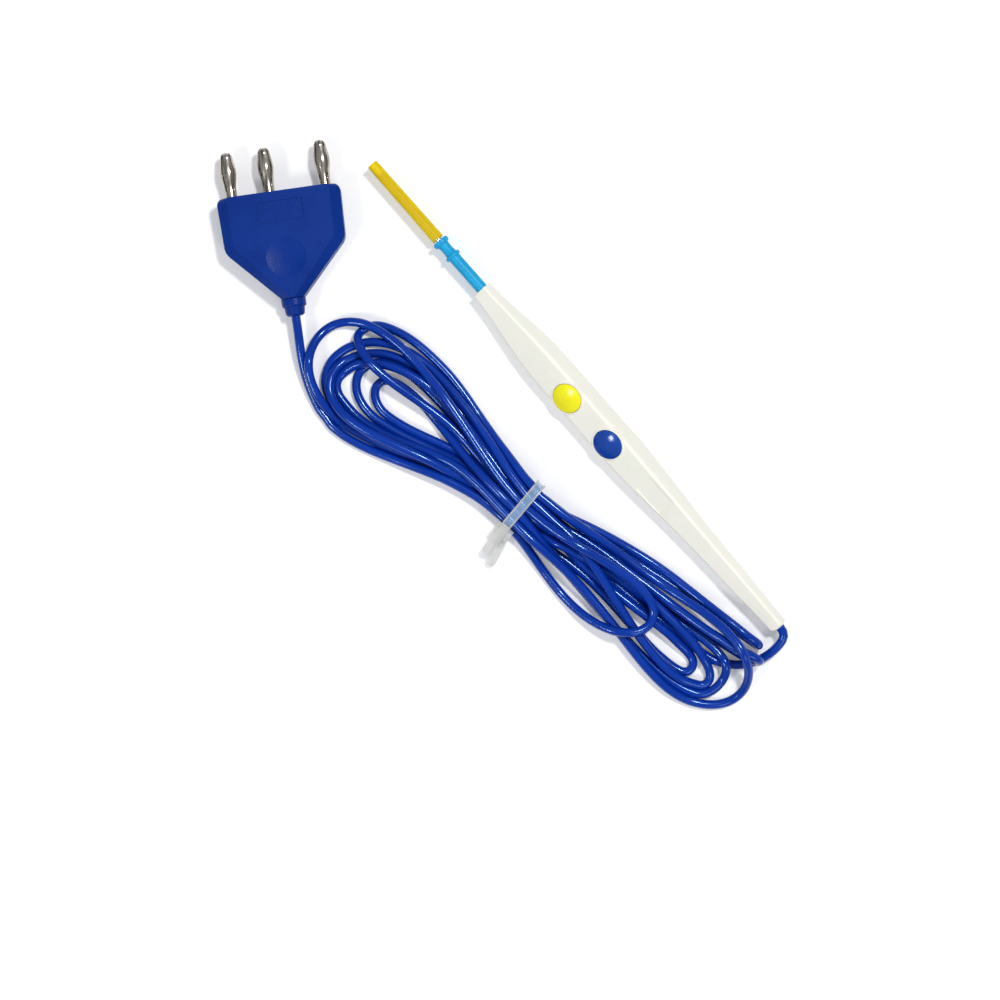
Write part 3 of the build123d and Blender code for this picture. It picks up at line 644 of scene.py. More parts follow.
@dataclass(frozen=True)
class Studio:
    """The camera, the floor, the lamps and the sky.

    Attributes:
        photo: the photograph's scale and place.
        frame_width: how much of the floor the camera sees, in metres.
        sensor: the width of the camera's sensor, in millimetres.
        sight: the nearest and farthest distance that the camera sees.
        floor_half: half the floor's side.
        floor_tones: the floor's deeper and paler colour.
        floor_cloud: where in its cloud the one changes to the other.
        floor_mottle: the size of the cloud's patches.
        floor_roughness: the floor's roughness.
        lift: how strongly the floor shows its own white, near the part and far from it.
        lift_reach: the distances from the part's origin between which that changes.
        lamps: the lamps.
        sky_colour: the colour of the light from all sides.
        sky_strength: the strength of that light.
    """

    photo: PhotoMap = PhotoMap()
    frame_width: float = 0.339
    sensor: float = 36.0
    sight: Span = (0.01, 10.0)
    floor_half: float = 3.0
    floor_tones: tuple[Colour, Colour] = ((0.83, 0.83, 0.835), (0.86, 0.86, 0.865))
    floor_cloud: Span = (0.3, 0.7)
    floor_mottle: float = 0.15
    floor_roughness: float = 0.9
    lift: Span = (0.18, 0.72)
    lift_reach: Span = (0.35, 1.4)
    lamps: tuple[Lamp, ...] = (
        Lamp("key_lamp", (0.04, -0.42, 1.05), 0.13, 7.6),
        Lamp("left_lamp", (0.12, 0.9, 0.95), 0.22, 4.4),
        Lamp("right_lamp", (-0.75, 0.15, 0.8), 0.4, 2.2))
    sky_colour: Colour = (0.93, 0.96, 1.0)
    sky_strength: float = 0.34

    @property
    def looks_at(self) -> tuple[float, float]:
        """The place on the floor under the camera."""
        return self.photo.floor(self.photo.middle)

    def camera(self) -> None:
        """The camera, straight above, turned as the photograph is."""
        data = bpy.data.cameras.new("photo_camera")
        data.sensor_width = self.sensor
        data.lens = self.sensor * self.photo.distance / self.frame_width
        data.clip_start, data.clip_end = self.sight
        made = add_object("photo_camera", data)
        right = Vector((*self.photo.right, 0.0)).normalized()
        back = Vector((0.0, 0.0, 1.0))
        turn = Matrix((right, back.cross(right), back)).transposed().to_4x4()
        made.matrix_world = Matrix.Translation((*self.looks_at, self.photo.distance)) @ turn
        bpy.context.scene.camera = made

    def floor(self) -> None:
        """A plain pale floor that shows white to the camera and keeps shadows."""
        mesh = bpy.data.meshes.new("floor")
        signs = ((-1, -1), (1, -1), (1, 1), (-1, 1))
        corners = [(x * self.floor_half, y * self.floor_half, 0.0) for x, y in signs]
        mesh.from_pydata(corners, [], [(0, 1, 2, 3)])
        shader = Shader("floor_paper")
        cloud = shader.noise(self.floor_mottle, Detail.MEDIUM)
        shader.finish({
            "Base Color": shader.ramp(cloud, self.floor_cloud, *self.floor_tones),
            "Roughness": self.floor_roughness,
            "Specular IOR Level": 0.0,
        })
        rays = shader.node("ShaderNodeLightPath").outputs
        mirrored = shader.maths("MAXIMUM", rays["Is Glossy Ray"], rays["Is Transmission Ray"])
        shown = shader.maths("MAXIMUM", rays["Is Camera Ray"], mirrored)
        away = shader.node("ShaderNodeVectorMath", {0: shader.place()}, operation="LENGTH")
        lift = shader.spread(away.outputs["Value"], *self.lift, *self.lift_reach)
        strength = shader.maths("MULTIPLY", shown, lift)
        white = shader.node("ShaderNodeEmission", {"Color": (1.0, 1.0, 1.0), "Strength": strength})
        both = shader.node("ShaderNodeAddShader", {
            0: shader.surface.outputs["BSDF"], 1: white.outputs["Emission"]})
        shader.join(both.outputs["Shader"], shader.output.inputs["Surface"])
        mesh.materials.append(shader.material)
        add_object("floor", mesh)

    def sky(self) -> None:
        """Even light from all sides, and plain white behind everything that the camera sees."""
        world = bpy.data.worlds.new("even_sky")
        world.use_nodes = True
        nodes, links = world.node_tree.nodes, world.node_tree.links
        light = nodes["Background"]
        light.inputs["Color"].default_value = (*self.sky_colour, 1.0)
        light.inputs["Strength"].default_value = self.sky_strength
        white = nodes.new("ShaderNodeBackground")
        white.inputs["Color"].default_value = (1.0, 1.0, 1.0, 1.0)
        both = nodes.new("ShaderNodeMixShader")
        rays = nodes.new("ShaderNodeLightPath")
        links.new(rays.outputs["Is Camera Ray"], both.inputs["Fac"])
        links.new(light.outputs["Background"], both.inputs[1])
        links.new(white.outputs["Background"], both.inputs[2])
        links.new(both.outputs["Shader"], nodes["World Output"].inputs["Surface"])
        bpy.context.scene.world = world

    def build(self) -> None:
        """Camera, floor, lamps and sky."""
        self.camera()
        self.floor()
        for lamp in self.lamps:
            lamp.hang((*self.looks_at, 0.0))
        self.sky()
        bpy.context.scene.view_settings.view_transform = "Standard"


@dataclass(frozen=True)
class Turn:
    """One end turn of the hank, traced along its cord.

    Attributes:
        leaves: the tie's slot that it comes from, as layer and column.
        enters: the tie's slot that it goes back into.
        starts_up: how many cords high it lies where it starts.
        ends_up: how many cords high it lies where it ends.
        line: its centreline in the photograph's pixels.
        fold: the held points of its far end, as a pixel and cords up, where it is folded on edge.
        back: its centreline after such a fold.
    """

    leaves: tuple[int, int]
    enters: tuple[int, int]
    starts_up: float
    ends_up: float
    line: tuple[Pixel, ...]
    fold: tuple[tuple[Pixel, float], ...] = ()
    back: tuple[Pixel, ...] = ()


# The hank's turns, in the order in which the cord runs through them
TURNS = (
    Turn((0, 3), (1, 0), 2.0, 2.6, (
        (457, 471), (440, 463), (420, 454), (400, 446), (380, 437.5), (365, 430), (350, 421),
        (338, 411), (330, 401), (326.5, 392), (327, 382), (331, 372), (338, 364), (348, 358.5),
        (360, 356.5), (372, 354), (385, 351), (395, 353), (405, 359), (417, 368), (430, 380),
        (445, 396), (460, 414), (478, 438), (490, 453))),
    Turn((1, 0), (0, 0), 3.6, 1.0, (
        (580, 520), (600, 533.5), (620, 545), (640, 556), (660, 569), (680, 584.5), (700, 600),
        (720, 615), (735, 626.5)),
        (((741, 631), 2.2), ((749, 637.5), 2.3), ((757, 643), 1.95), ((760.5, 646.5), 1.15),
         ((756, 644.5), 0.25), ((748, 639), 0.0), ((739, 632), 0.0)),
        ((730, 625.5), (715, 614), (695, 600), (675, 586), (655, 573), (635, 560), (610, 545),
         (585, 529))),
    Turn((0, 0), (1, 3), 1.0, 1.0, (
        (480, 450), (462, 427), (445, 407), (428, 390), (412, 376), (398, 367), (385, 362.5),
        (373, 361.5), (363, 365), (357.5, 373), (356, 384), (358, 396), (362, 406), (369, 416),
        (378, 425), (388, 432), (400, 437), (420, 443.5), (440, 450), (460, 458), (475, 467))),
    Turn((1, 3), (0, 2), 0.6, 0.6, (
        (580, 568), (600, 590), (622, 613), (640, 633), (655, 648), (668, 661), (678, 670),
        (686.5, 673), (692, 668.5), (691, 660), (685, 650), (675, 640), (660, 628), (640, 612),
        (620, 595), (600, 578), (580, 562))),
    Turn((0, 2), (2, 1), 1.6, 3.0, (
        (465, 482), (445, 470), (425, 461), (405, 452), (385, 442), (368, 434), (352, 424),
        (340, 415), (330, 406), (324, 397), (322, 388), (325, 378), (330, 367), (335.5, 357),
        (343, 348.5), (354, 342), (368, 339), (385, 340.5), (400, 345), (415, 354), (432, 370),
        (450, 390), (470, 416), (490, 443))),
    Turn((2, 1), (1, 2), 3.0, 1.0, (
        (572, 533), (590, 558), (610, 590), (622, 610), (633, 627), (645, 642), (658, 657),
        (672, 671), (685, 681), (696, 687), (705, 686.5), (709, 680), (708, 671), (704, 661),
        (697, 650), (686, 636), (670, 618), (650, 602), (628, 584), (605, 565), (580, 545))),
    Turn((1, 2), (2, 0), 2.8, 2.8, (
        (480, 455), (468, 440), (457, 429), (445, 419), (430, 408), (415, 397), (400, 387),
        (388, 378.5), (376, 369.5), (367, 359), (361, 349), (357.5, 340), (358, 332), (364, 326.5),
        (374, 325), (386, 327), (400, 334), (415, 344.5), (430, 358), (445, 374), (460, 393),
        (478, 418), (495, 441))),
    Turn((2, 0), (2, 4), 4.5, 2.0, (
        (578, 521.5), (595, 534.5), (610, 547), (625, 561), (640, 573), (655, 583.5), (670, 592.5),
        (685, 601), (700, 610), (715, 620), (728, 631), (738, 641), (746, 651), (751.5, 663),
        (752.5, 675), (748.5, 688), (739, 698.5), (725.5, 705), (710, 706.5), (694, 703),
        (679, 695.5), (664, 684), (652, 670), (640, 656), (627, 640), (615, 626), (600, 609),
        (585, 591), (570, 573), (557, 557))),
    Turn((2, 4), (1, 1), 2.6, 2.6, (
        (480, 486), (460, 471), (440, 459), (420, 449.5), (400, 441), (385, 434.5), (370, 427),
        (358, 418.5), (348, 408.5), (340, 397.5), (335.5, 388), (336, 380), (341, 372), (350, 366),
        (362, 363.5), (375, 363), (388, 364), (400, 368), (415, 377), (432, 389), (450, 407),
        (470, 428), (485, 448))),
    Turn((1, 1), (0, 1), 3.0, 0.6, (
        (580, 534), (600, 550), (620, 565), (640, 580), (660, 595), (680, 611), (700, 626),
        (714, 635.5)),
        (((726, 642.5), 2.6), ((734, 647.5), 2.85), ((742, 651.5), 3.0), ((750, 655), 3.0),
         ((757.5, 659), 2.75), ((761.5, 662), 2.0), ((757, 661.5), 1.2), ((748.5, 658.5), 0.95),
         ((739, 654), 0.9)),
        ((730, 649), (718, 641.5), (700, 629.5), (680, 614.5), (660, 598), (640, 583), (620, 567.5),
         (600, 553), (580, 537))),
    Turn((0, 1), (2, 3), 0.0, 3.0, (
        (480, 468), (470, 457), (455, 447), (440, 442.5), (425, 437.5), (410, 431.5), (398, 425.5),
        (388, 418), (380, 409), (376, 400), (375.5, 391), (379, 383.5), (385, 380.5), (393, 383),
        (403, 390), (415, 400), (425, 410), (435, 421), (445, 432), (460, 452), (475, 472),
        (488, 487))),
    Turn((2, 3), (0, 4), 1.6, 1.0, (
        (575, 580), (600, 610), (625, 638), (640, 653), (655, 667), (670, 680), (685, 690),
        (700, 695), (711, 691), (720, 684), (726, 676), (728, 667), (726, 659), (720, 652),
        (705, 643), (680, 628), (650, 606), (610, 572), (575, 547))),
    Turn((0, 4), (2, 2), 0.6, 5.0, (
        (465, 485), (445, 473), (425, 463), (405, 454), (385, 445), (368, 436), (350, 425),
        (335, 414), (322, 402), (313, 391), (308, 381), (306, 369), (307.5, 357), (311, 345),
        (318, 334), (328, 325), (340, 320), (350, 319.5), (362, 321.5), (375, 327), (387, 335),
        (398, 345), (408, 356), (418, 367), (430, 381), (443, 397), (455, 412), (468, 430),
        (482, 452))),
    Turn((2, 2), (1, 4), 4.0, 4.0, (
        (570, 541), (590, 555), (605, 564), (620, 573), (632, 582), (642, 590), (650, 599),
        (654.5, 608), (654, 617), (650, 625), (643, 630.5), (633, 633), (620, 631.5), (606, 627.5),
        (592, 621), (580, 613.5), (569, 603.5), (560, 594), (550, 580), (540, 564))),
)


@dataclass
class Hank:
    """The cord's turns, laid down on one another between the two free stretches.

    The turns start where the photograph shows them, and settle in passes. In each pass they sink
    a little, are drawn back to their traced lines, smoothed, and pushed off one another and the
    floor.

    Attributes:
        diameter: the cord's diameter.
        tie: the tie's middle, as x and y.
        grip: half the length over which the tie holds the strands straight.
        pitch: how far apart the strands lie in the tie, in diameters.
        stagger: how far each layer in the tie lies to the side, in strands.
        tie_floor: how high the lowest strand's underside lies in the tie.
        held_pixels: how many points at each free stretch are held.
        roundings: how many times the traced line's corners are cut.
        corner_cut: how far along each run a corner is cut.
        step: the length from point to point along the settled line.
        firm_from: how held a point has to be to stay.
        passes: how many passes the turns settle in.
        sink: how far they sink in a pass.
        pull: how strongly they are drawn to their traced lines in the first pass.
        pull_loss: how much of that is lost by the last pass.
        pair_passes: after how many passes the touching strands are looked up again.
        pushes: how many times a pass pushes them apart.
        sideways: how much of a push goes sideways, early and late.
        late: from what share of the passes it is late.
        strides: how many points apart the smoothing reads the line.
        fairness: how strong the smoothing is.
        least_bend: the radius below which a bend is eased.
        easings: how many times a pass eases bends.
        easing: how much of a bend's excess is eased each time.
        touch: how near two strands are looked up as touching, in diameters.
        neighbours: how many points along the cord are never pushed off each other.
        lean: what is added to a push's height, so that strands at one height part.
        least_gain: the least that a push is taken to part two strands by.
        overshoot: how much further than needed a push goes.
        hump: how a lift is shared along the cord.
        lift_share: how much of the way off a free stretch a push lifts.
        length_rounds: how many times a pass mends the steps' lengths.
        length_share: how much of a step's error each of its ends mends.
        photo: the photograph's scale and place.
        from_pencil: the cord's line from the pencil to the tie, in the photograph's pixels.
        to_plug: its line from the tie to the plug.
    """

    diameter: float = 0.0031
    tie: tuple[float, float] = (-0.0160, 0.0378)
    grip: float = 0.0048
    pitch: float = 1.015
    stagger: float = 0.25
    tie_floor: float = 0.0009
    held_pixels: int = 2
    roundings: int = 2
    corner_cut: float = 0.25
    step: float = 0.0025
    firm_from: float = 0.99
    passes: int = 280
    sink: float = 0.0001
    pull: float = 0.14
    pull_loss: float = 0.08
    pair_passes: int = 4
    pushes: int = 3
    sideways: Span = (0.2, 0.4)
    late: float = 0.85
    strides: tuple[int, ...] = (1, 2, 4)
    fairness: float = 0.3
    least_bend: float = 0.005
    easings: int = 3
    easing: float = 0.5
    touch: float = 1.6
    neighbours: int = 3
    lean: float = 0.00015
    least_gain: float = 0.45
    overshoot: float = 1.3
    hump: tuple[float, ...] = (0.12, 0.28, 0.44, 0.28, 0.12)
    lift_share: float = 0.6
    length_rounds: int = 2
    length_share: float = 0.25
    photo: PhotoMap = PhotoMap()
    from_pencil: tuple[Pixel, ...] = (
        (703, 653.5), (690, 645), (672, 630), (655, 616), (635, 600), (612, 580), (590, 562),
        (568, 545))
    to_plug: tuple[Pixel, ...] = (
        (465, 487), (440, 474), (420, 466), (400, 459), (382, 452.5), (366, 447), (354, 441.5),
        (343.5, 435), (334, 427), (325.5, 417.5))

    def strand(self, pixel: Pixel, level: float = 0.0) -> Point:
        """The cord's middle at a pixel, so many cords above the floor."""
        return self.photo.place(pixel, self.diameter / 2 + level * self.diameter)

    def through_tie(self, slot: tuple[int, int], from_tail_side: bool) -> list[Point]:
        """A strand's three held points in the tie, where each layer nests in the one below.

        Args:
            slot: the strand's layer from below and its column from the handle's side.
            from_tail_side: whether it comes from the side of the handle's tail.

        Returns:
            The points in metres, in the order in which the cord runs.
        """
        layer, column = slot
        middle_column = 2
        shift = self.stagger if layer == 1 else -self.stagger
        y = self.tie[1] + (column - middle_column + shift) * self.diameter * self.pitch
        z = self.tie_floor + self.diameter * (0.5 + layer * math.sqrt(3) / 2)
        sign = 1.0 if from_tail_side else -1.0
        return [(self.tie[0] + sign * share * self.grip, y, z) for share in (-1.0, 0.0, 1.0)]

    def lay_out(self, start: Point, end: Point) -> tuple[np.ndarray, np.ndarray]:
        """The traced turns in space, before they settle.

        Args:
            start: the end of the pencil's free stretch.
            end: the start of the plug's free stretch.

        Returns:
            The points, and for each whether it is held.
        """
        points, held = [start], [True]

        def add(more: Iterable[Point], hold: bool) -> None:
            """Append points that are held or free.

            Args:
                more: the points.
                hold: whether they are held.
            """
            for point in more:
                points.append(point)
                held.append(hold)

        first_free, last_free = self.held_pixels, len(self.to_plug) - self.held_pixels
        add(map(self.strand, self.from_pencil[:first_free]), True)
        add(map(self.strand, self.from_pencil[first_free:]), False)
        tail_side = True
        for turn in TURNS:
            add(self.through_tie(turn.leaves, tail_side), True)
            tail_side = not tail_side
            middle_up = turn.fold[0][1] if turn.fold else turn.ends_up
            for index, pixel in enumerate(turn.line):
                share = (middle_up - turn.starts_up) * index / (len(turn.line) - 1)
                add([self.strand(pixel, turn.starts_up + share)], False)
            add([self.strand(pixel, level) for pixel, level in turn.fold], True)
            add([self.strand(pixel, turn.ends_up) for pixel in turn.back], False)
        add(self.through_tie(TURNS[-1].enters, tail_side), True)
        add(map(self.strand, self.to_plug[:last_free]), False)
        add(map(self.strand, self.to_plug[last_free:]), True)
        add([end], True)
        return np.array(points), np.array(held)

    def even_out(self, points: np.ndarray, held: np.ndarray) -> tuple[np.ndarray, np.ndarray]:
        """Points of the turns at one small step along them.

        Args:
            points: the laid out points.
            held: whether each is held.

        Returns:
            The even points, and 1 for each that may move.
        """
        for _ in range(self.roundings):
            near = points[:-1] * (1.0 - self.corner_cut) + points[1:] * self.corner_cut
            far = points[:-1] * self.corner_cut + points[1:] * (1.0 - self.corner_cut)
            both = held[:-1] & held[1:]
            cut = np.stack([near, far], 1).reshape(-1, 3)
            points = np.concatenate([points[:1], cut, points[-1:]])
            held = np.concatenate([held[:1], np.repeat(both, 2), held[-1:]])
        steps = np.linalg.norm(np.diff(points, axis=0), axis=1)
        along = np.concatenate([[0.0], np.cumsum(steps)])
        count = int(round(along[-1] / self.step))
        marks = np.linspace(0.0, along[-1], count + 1)
        even = np.stack([np.interp(marks, along, points[:, axis]) for axis in range(3)], 1)
        firm = np.interp(marks, along, held.astype(float)) > self.firm_from
        firm[0] = firm[-1] = True
        return even, (~firm).astype(float)[:, None]

    def settle(self, start: Point, end: Point, blocks: Sequence[tuple[Point, Point]]) -> np.ndarray:
        """Let the turns sink and rest on one another.

        Args:
            start: the end of the pencil's free stretch.
            end: the start of the plug's free stretch.
            blocks: straight stretches of cord that the turns rest on.

        Returns:
            The settled points.
        """
        points, free = self.even_out(*self.lay_out(start, end))
        under = np.array(self.photo.floor(self.photo.middle))
        nearer = 1.0 - points[:, 2:] / self.photo.distance
        traced = (points[:, :2] - under) / nearer
        lengths = np.linalg.norm(np.diff(points, axis=0), axis=1)
        radius = self.diameter / 2
        for number in range(self.passes):
            progress = number / self.passes
            points[:, 2] -= free[:, 0] * self.sink
            home = under + traced * (1.0 - points[:, 2:] / self.photo.distance)
            points[:, :2] += free * (home - points[:, :2]) * (self.pull - self.pull_loss * progress)
            self.smooth(points, free)
            self.ease_bends(points, free)
            if number % self.pair_passes == 0:
                pairs = self.close_pairs(points)
            sideways = self.sideways[int(progress >= self.late)]
            for _ in range(self.pushes):
                self.push_apart(points, free, pairs, sideways)
                self.rest_on(points, free, blocks)
                points[:, 2] = np.maximum(points[:, 2], radius)
            self.keep_lengths(points, free, lengths)
            points[:, 2] = np.maximum(points[:, 2], radius)
        return points

    def smooth(self, points: np.ndarray, free: np.ndarray) -> None:
        """Draw each point to the fair line through its four neighbours, without drawing turns in.

        Args:
            points: the points, which are moved.
            free: 1 for each that may move.
        """
        for stride in self.strides:
            wide = 2 * stride
            middle = points[wide:-wide]
            near = points[stride:-3 * stride] + points[3 * stride:-stride]
            far = points[:-2 * wide] + points[2 * wide:]
            before, after = middle - points[:-2 * wide], points[2 * wide:] - middle
            sizes = np.linalg.norm(before, axis=1) * np.linalg.norm(after, axis=1) + TINY_SQUARE
            straight = np.clip((before * after).sum(1) / sizes, 0.0, 1.0)[:, None]
            fair = near * 4 / 6 - far / 6
            middle += free[wide:-wide] * straight * (fair - middle) * self.fairness

    def ease_bends(self, points: np.ndarray, free: np.ndarray) -> None:
        """Open bends that are too tight.

        Args:
            points: the points, which are moved.
            free: 1 for each that may move.
        """
        limit = self.step ** 2 / (2 * self.least_bend)
        for _ in range(self.easings):
            off = 0.5 * (points[:-2] + points[2:]) - points[1:-1]
            size = np.linalg.norm(off, axis=1) + TINY
            move = off * (np.clip(size - limit, 0.0, None) / size * self.easing)[:, None]
            points[1:-1] += free[1:-1] * move
            points[:-2] -= free[:-2] * move * 0.5
            points[2:] -= free[2:] * move * 0.5

    def close_pairs(self, points: np.ndarray) -> tuple[np.ndarray, np.ndarray]:
        """The pairs of points, not neighbours on the cord, that may touch.

        Args:
            points: the points.

        Returns:
            The numbers of each pair's first point and of its second.
        """
        square = ((points[:, None, :] - points[None, :, :]) ** 2).sum(-1)
        first, second = np.nonzero(square < (self.diameter * self.touch) ** 2)
        apart = second - first > self.neighbours
        return first[apart], second[apart]

    def push_apart(self, points: np.ndarray, free: np.ndarray,
                   pairs: tuple[np.ndarray, np.ndarray], sideways: float) -> None:
        """Move touching strands a diameter apart, mostly up and down.

        Args:
            points: the points, which are moved.
            free: 1 for each that may move.
            pairs: the pairs of points that may touch.
            sideways: how much of a push goes sideways.
        """
        first, second = pairs
        gap = points[second] - points[first]
        size = np.linalg.norm(gap, axis=1) + TINY
        short = np.clip(self.diameter - size, 0.0, None)
        hit = short > 0.0
        first, second, gap, size, short = first[hit], second[hit], gap[hit], size[hit], short[hit]
        way = gap * np.array([sideways, sideways, 1.0])
        way[:, 2] += np.where(gap[:, 2] >= 0.0, self.lean, -self.lean)
        way /= np.linalg.norm(way, axis=1)[:, None]
        gain = np.clip((way * gap).sum(1) / size, self.least_gain, 1.0)
        push = way * (short / gain)[:, None] * 0.5
        moved, times = np.zeros_like(points), np.zeros(len(points))
        np.add.at(moved, first, -push)
        np.add.at(moved, second, push)
        np.add.at(times, first, 1)
        np.add.at(times, second, 1)
        moved *= self.overshoot / np.maximum(times, 1)[:, None]
        moved[:, 2] = np.convolve(moved[:, 2], self.hump, "same")
        points += free * moved

    def rest_on(self, points: np.ndarray, free: np.ndarray,
                blocks: Sequence[tuple[Point, Point]]) -> None:
        """Lift points off the free stretches of cord that they cross.

        Args:
            points: the points, which are moved.
            free: 1 for each that may move.
            blocks: the two ends of each straight stretch.
        """
        for one, other in blocks:
            start, along = np.array(one), np.array(other) - np.array(one)
            share = np.clip(((points - start) @ along) / (along @ along), 0.0, 1.0)
            gap = points - (start + share[:, None] * along)
            flat = np.linalg.norm(gap[:, :2], axis=1)
            reach = np.sqrt(np.clip(self.diameter ** 2 - flat ** 2, 0.0, None))
            lift = np.where(flat < self.diameter, np.clip(reach - gap[:, 2], 0.0, None), 0.0)
            points[:, 2] += free[:, 0] * lift * self.lift_share

    def keep_lengths(self, points: np.ndarray, free: np.ndarray, lengths: np.ndarray) -> None:
        """Bring each step back to its own length.

        Args:
            points: the points, which are moved.
            free: 1 for each that may move.
            lengths: the length of each step.
        """
        for _ in range(self.length_rounds):
            gap = points[1:] - points[:-1]
            size = np.linalg.norm(gap, axis=1)
            mend = gap * ((size - lengths) / np.maximum(size, TINY) * self.length_share)[:, None]
            points[:-1] += free[:-1] * mend
            points[1:] -= free[1:] * mend


@dataclass
class Tie:
    """The strap round the hank, with its channel, inner teeth, head and two rounded ends.

    Attributes:
        at: its middle, as x and y.
        turn: how far it is turned about +Z, in degrees.
        half_span: half its width across the bundle, inside.
        low: the height of its inner face below the bundle.
        high: the height of its inner face above the bundle.
        corner: the radius of its bends.
        corner_steps: how many steps a bend has.
        flat_steps: how many steps each flat side has.
        profile: its cross-section, as places along the bundle and out from it.
        rim: how far from its middle the milky rims start.
        tooth: how high a tooth stands.
        tooth_flat: how squarely up or down the strap has to face to carry a tooth.
        head_size: the head's length, width and height.
        head_from: the head's pixel and height.
        upper_end: the pixel and height where the upper end starts and where its round begins.
        lower_end: the same for the lower end.
        end_width: the ends' width.
        end_thickness: the ends' thickness.
        end_steps: how many steps an end's round has.
        bevel: how wide the bevels of the head and the ends are.
        bevel_steps: how many steps a bevel has.
        bevel_swell: how full the bevels are.
        photo: the photograph's scale and place.
    """

    at: tuple[float, float] = (-0.0160, 0.0378)
    turn: float = 8.5
    half_span: float = 0.0098
    low: float = 0.00095
    high: float = 0.0096
    corner: float = 0.0034
    corner_steps: int = 8
    flat_steps: int = 26
    profile: tuple[Span, ...] = (
        (-0.0017, 0.0), (-0.0017, 0.00075), (-0.0016, 0.00085), (-0.0013, 0.00085),
        (-0.0011, 0.0005), (0.0011, 0.0005), (0.0013, 0.00085), (0.0016, 0.00085),
        (0.0017, 0.00075), (0.0017, 0.0), (0.0010, 0.0), (-0.0010, 0.0))
    rim: float = 0.00105
    tooth: float = 0.00018
    tooth_flat: float = 0.99
    head_size: Point = (0.0062, 0.0040, 0.0030)
    head_from: tuple[Pixel, float] = ((503.0, 531.5), 0.0066)
    upper_end: tuple[tuple[Pixel, float], ...] = (
        ((507.0, 525.0), 0.0098), ((488.0, 549.0), 0.0052))
    lower_end: tuple[tuple[Pixel, float], ...] = (
        ((505.5, 535.0), 0.0050), ((491.5, 561.0), 0.0022))
    end_width: float = 0.0034
    end_thickness: float = 0.0009
    end_steps: int = 8
    bevel: float = 0.00016
    bevel_steps: int = 2
    bevel_swell: float = 0.6
    photo: PhotoMap = PhotoMap()

    def ring(self) -> list[tuple[float, float, float, float]]:
        """The strap's inner line round the bundle.

        Returns:
            Its place across the bundle and above the floor, and its outward direction.
        """
        line = []
        reach, middle = self.half_span - self.corner, (self.low + self.high) / 2
        rise = (self.high - self.low) / 2 - self.corner
        for quarter, (side, up) in enumerate(((1, 1), (-1, 1), (-1, -1), (1, -1))):
            for step in range(self.corner_steps + 1):
                angle = math.radians(90.0 * quarter + 90.0 * step / self.corner_steps)
                out = (math.cos(angle), math.sin(angle))
                line.append((side * reach + self.corner * out[0],
                             middle + up * rise + self.corner * out[1], *out))
            if quarter in (0, 2):
                for step in range(1, self.flat_steps):
                    share = side * (1.0 - 2.0 * step / self.flat_steps)
                    line.append((share * reach, middle + up * (rise + self.corner), 0.0, float(up)))
        return line

    def strap(self, mesh: bmesh.types.BMesh) -> None:
        """The channelled strap, with milky rims, and teeth on its inner face where it lies flat.

        Args:
            mesh: the tie's mesh, which it is added to.
        """
        spin = math.radians(self.turn)
        across = Vector((-math.sin(spin), math.cos(spin), 0.0))
        along = Vector((math.cos(spin), math.sin(spin), 0.0))
        rows = []
        for number, (side, up, out_side, out_up) in enumerate(self.ring()):
            base = Vector((*self.at, 0.0)) + across * side + Vector((0.0, 0.0, up))
            out = across * out_side + Vector((0.0, 0.0, out_up))
            tooth = self.tooth if abs(out_up) > self.tooth_flat and number % 2 else 0.0
            row = []
            for wide, tall in self.profile:
                lift = tall + (tooth if abs(wide) < self.rim and tall == 0.0 else 0.0)
                row.append(mesh.verts.new(base + along * wide + out * lift))
            rows.append(row)
        looks = []
        for one, other in zip(self.profile, self.profile[1:] + self.profile[:1]):
            looks.append(Nylon.MILKY if abs(one[0] + other[0]) > 2 * self.rim else Nylon.CLEAR)
        for row, following in zip(rows, rows[1:] + rows[:1]):
            for corner, look in enumerate(looks):
                after = (corner + 1) % len(row)
                face = mesh.faces.new((
                    row[corner], row[after], following[after], following[corner]))
                face.material_index = look.value

    def plate(self, mesh: bmesh.types.BMesh, ends: Sequence[tuple[Pixel, float]]) -> None:
        """A flat strip between two places, round at its far end.

        Args:
            mesh: the tie's mesh, which it is added to.
            ends: the pixel and height of its start, and of the middle of its round.
        """
        start, stop = (Vector(self.photo.place(*end)) for end in ends)
        along = (stop - start).normalized()
        across = Vector((-along.y, along.x, 0.0)).normalized()
        half = self.end_width / 2
        outline = [start - across * half, start + across * half]
        for step in range(self.end_steps + 1):
            angle = math.radians(90.0 - 180.0 * step / self.end_steps)
            outline.append(stop + along * half * math.cos(angle) + across * half * math.sin(angle))
        made = bmesh.new()
        bottom = made.faces.new([made.verts.new(point) for point in outline])
        raised = bmesh.ops.extrude_face_region(made, geom=[bottom])["geom"]
        bmesh.ops.translate(made, vec=along.cross(across) * self.end_thickness,
                            verts=[part for part in raised if isinstance(part, bmesh.types.BMVert)])
        self.merge(mesh, made)

    def head(self, mesh: bmesh.types.BMesh) -> None:
        """The small bevelled block that the strap is drawn through.

        Args:
            mesh: the tie's mesh, which it is added to.
        """
        made = bmesh.new()
        spin = Matrix.Rotation(math.radians(self.turn), 4, "Z")
        place = Matrix.Translation(self.photo.place(*self.head_from))
        size = Matrix.Diagonal((*self.head_size, 1.0))
        bmesh.ops.create_cube(made, size=1.0, matrix=place @ spin @ size)
        self.merge(mesh, made)

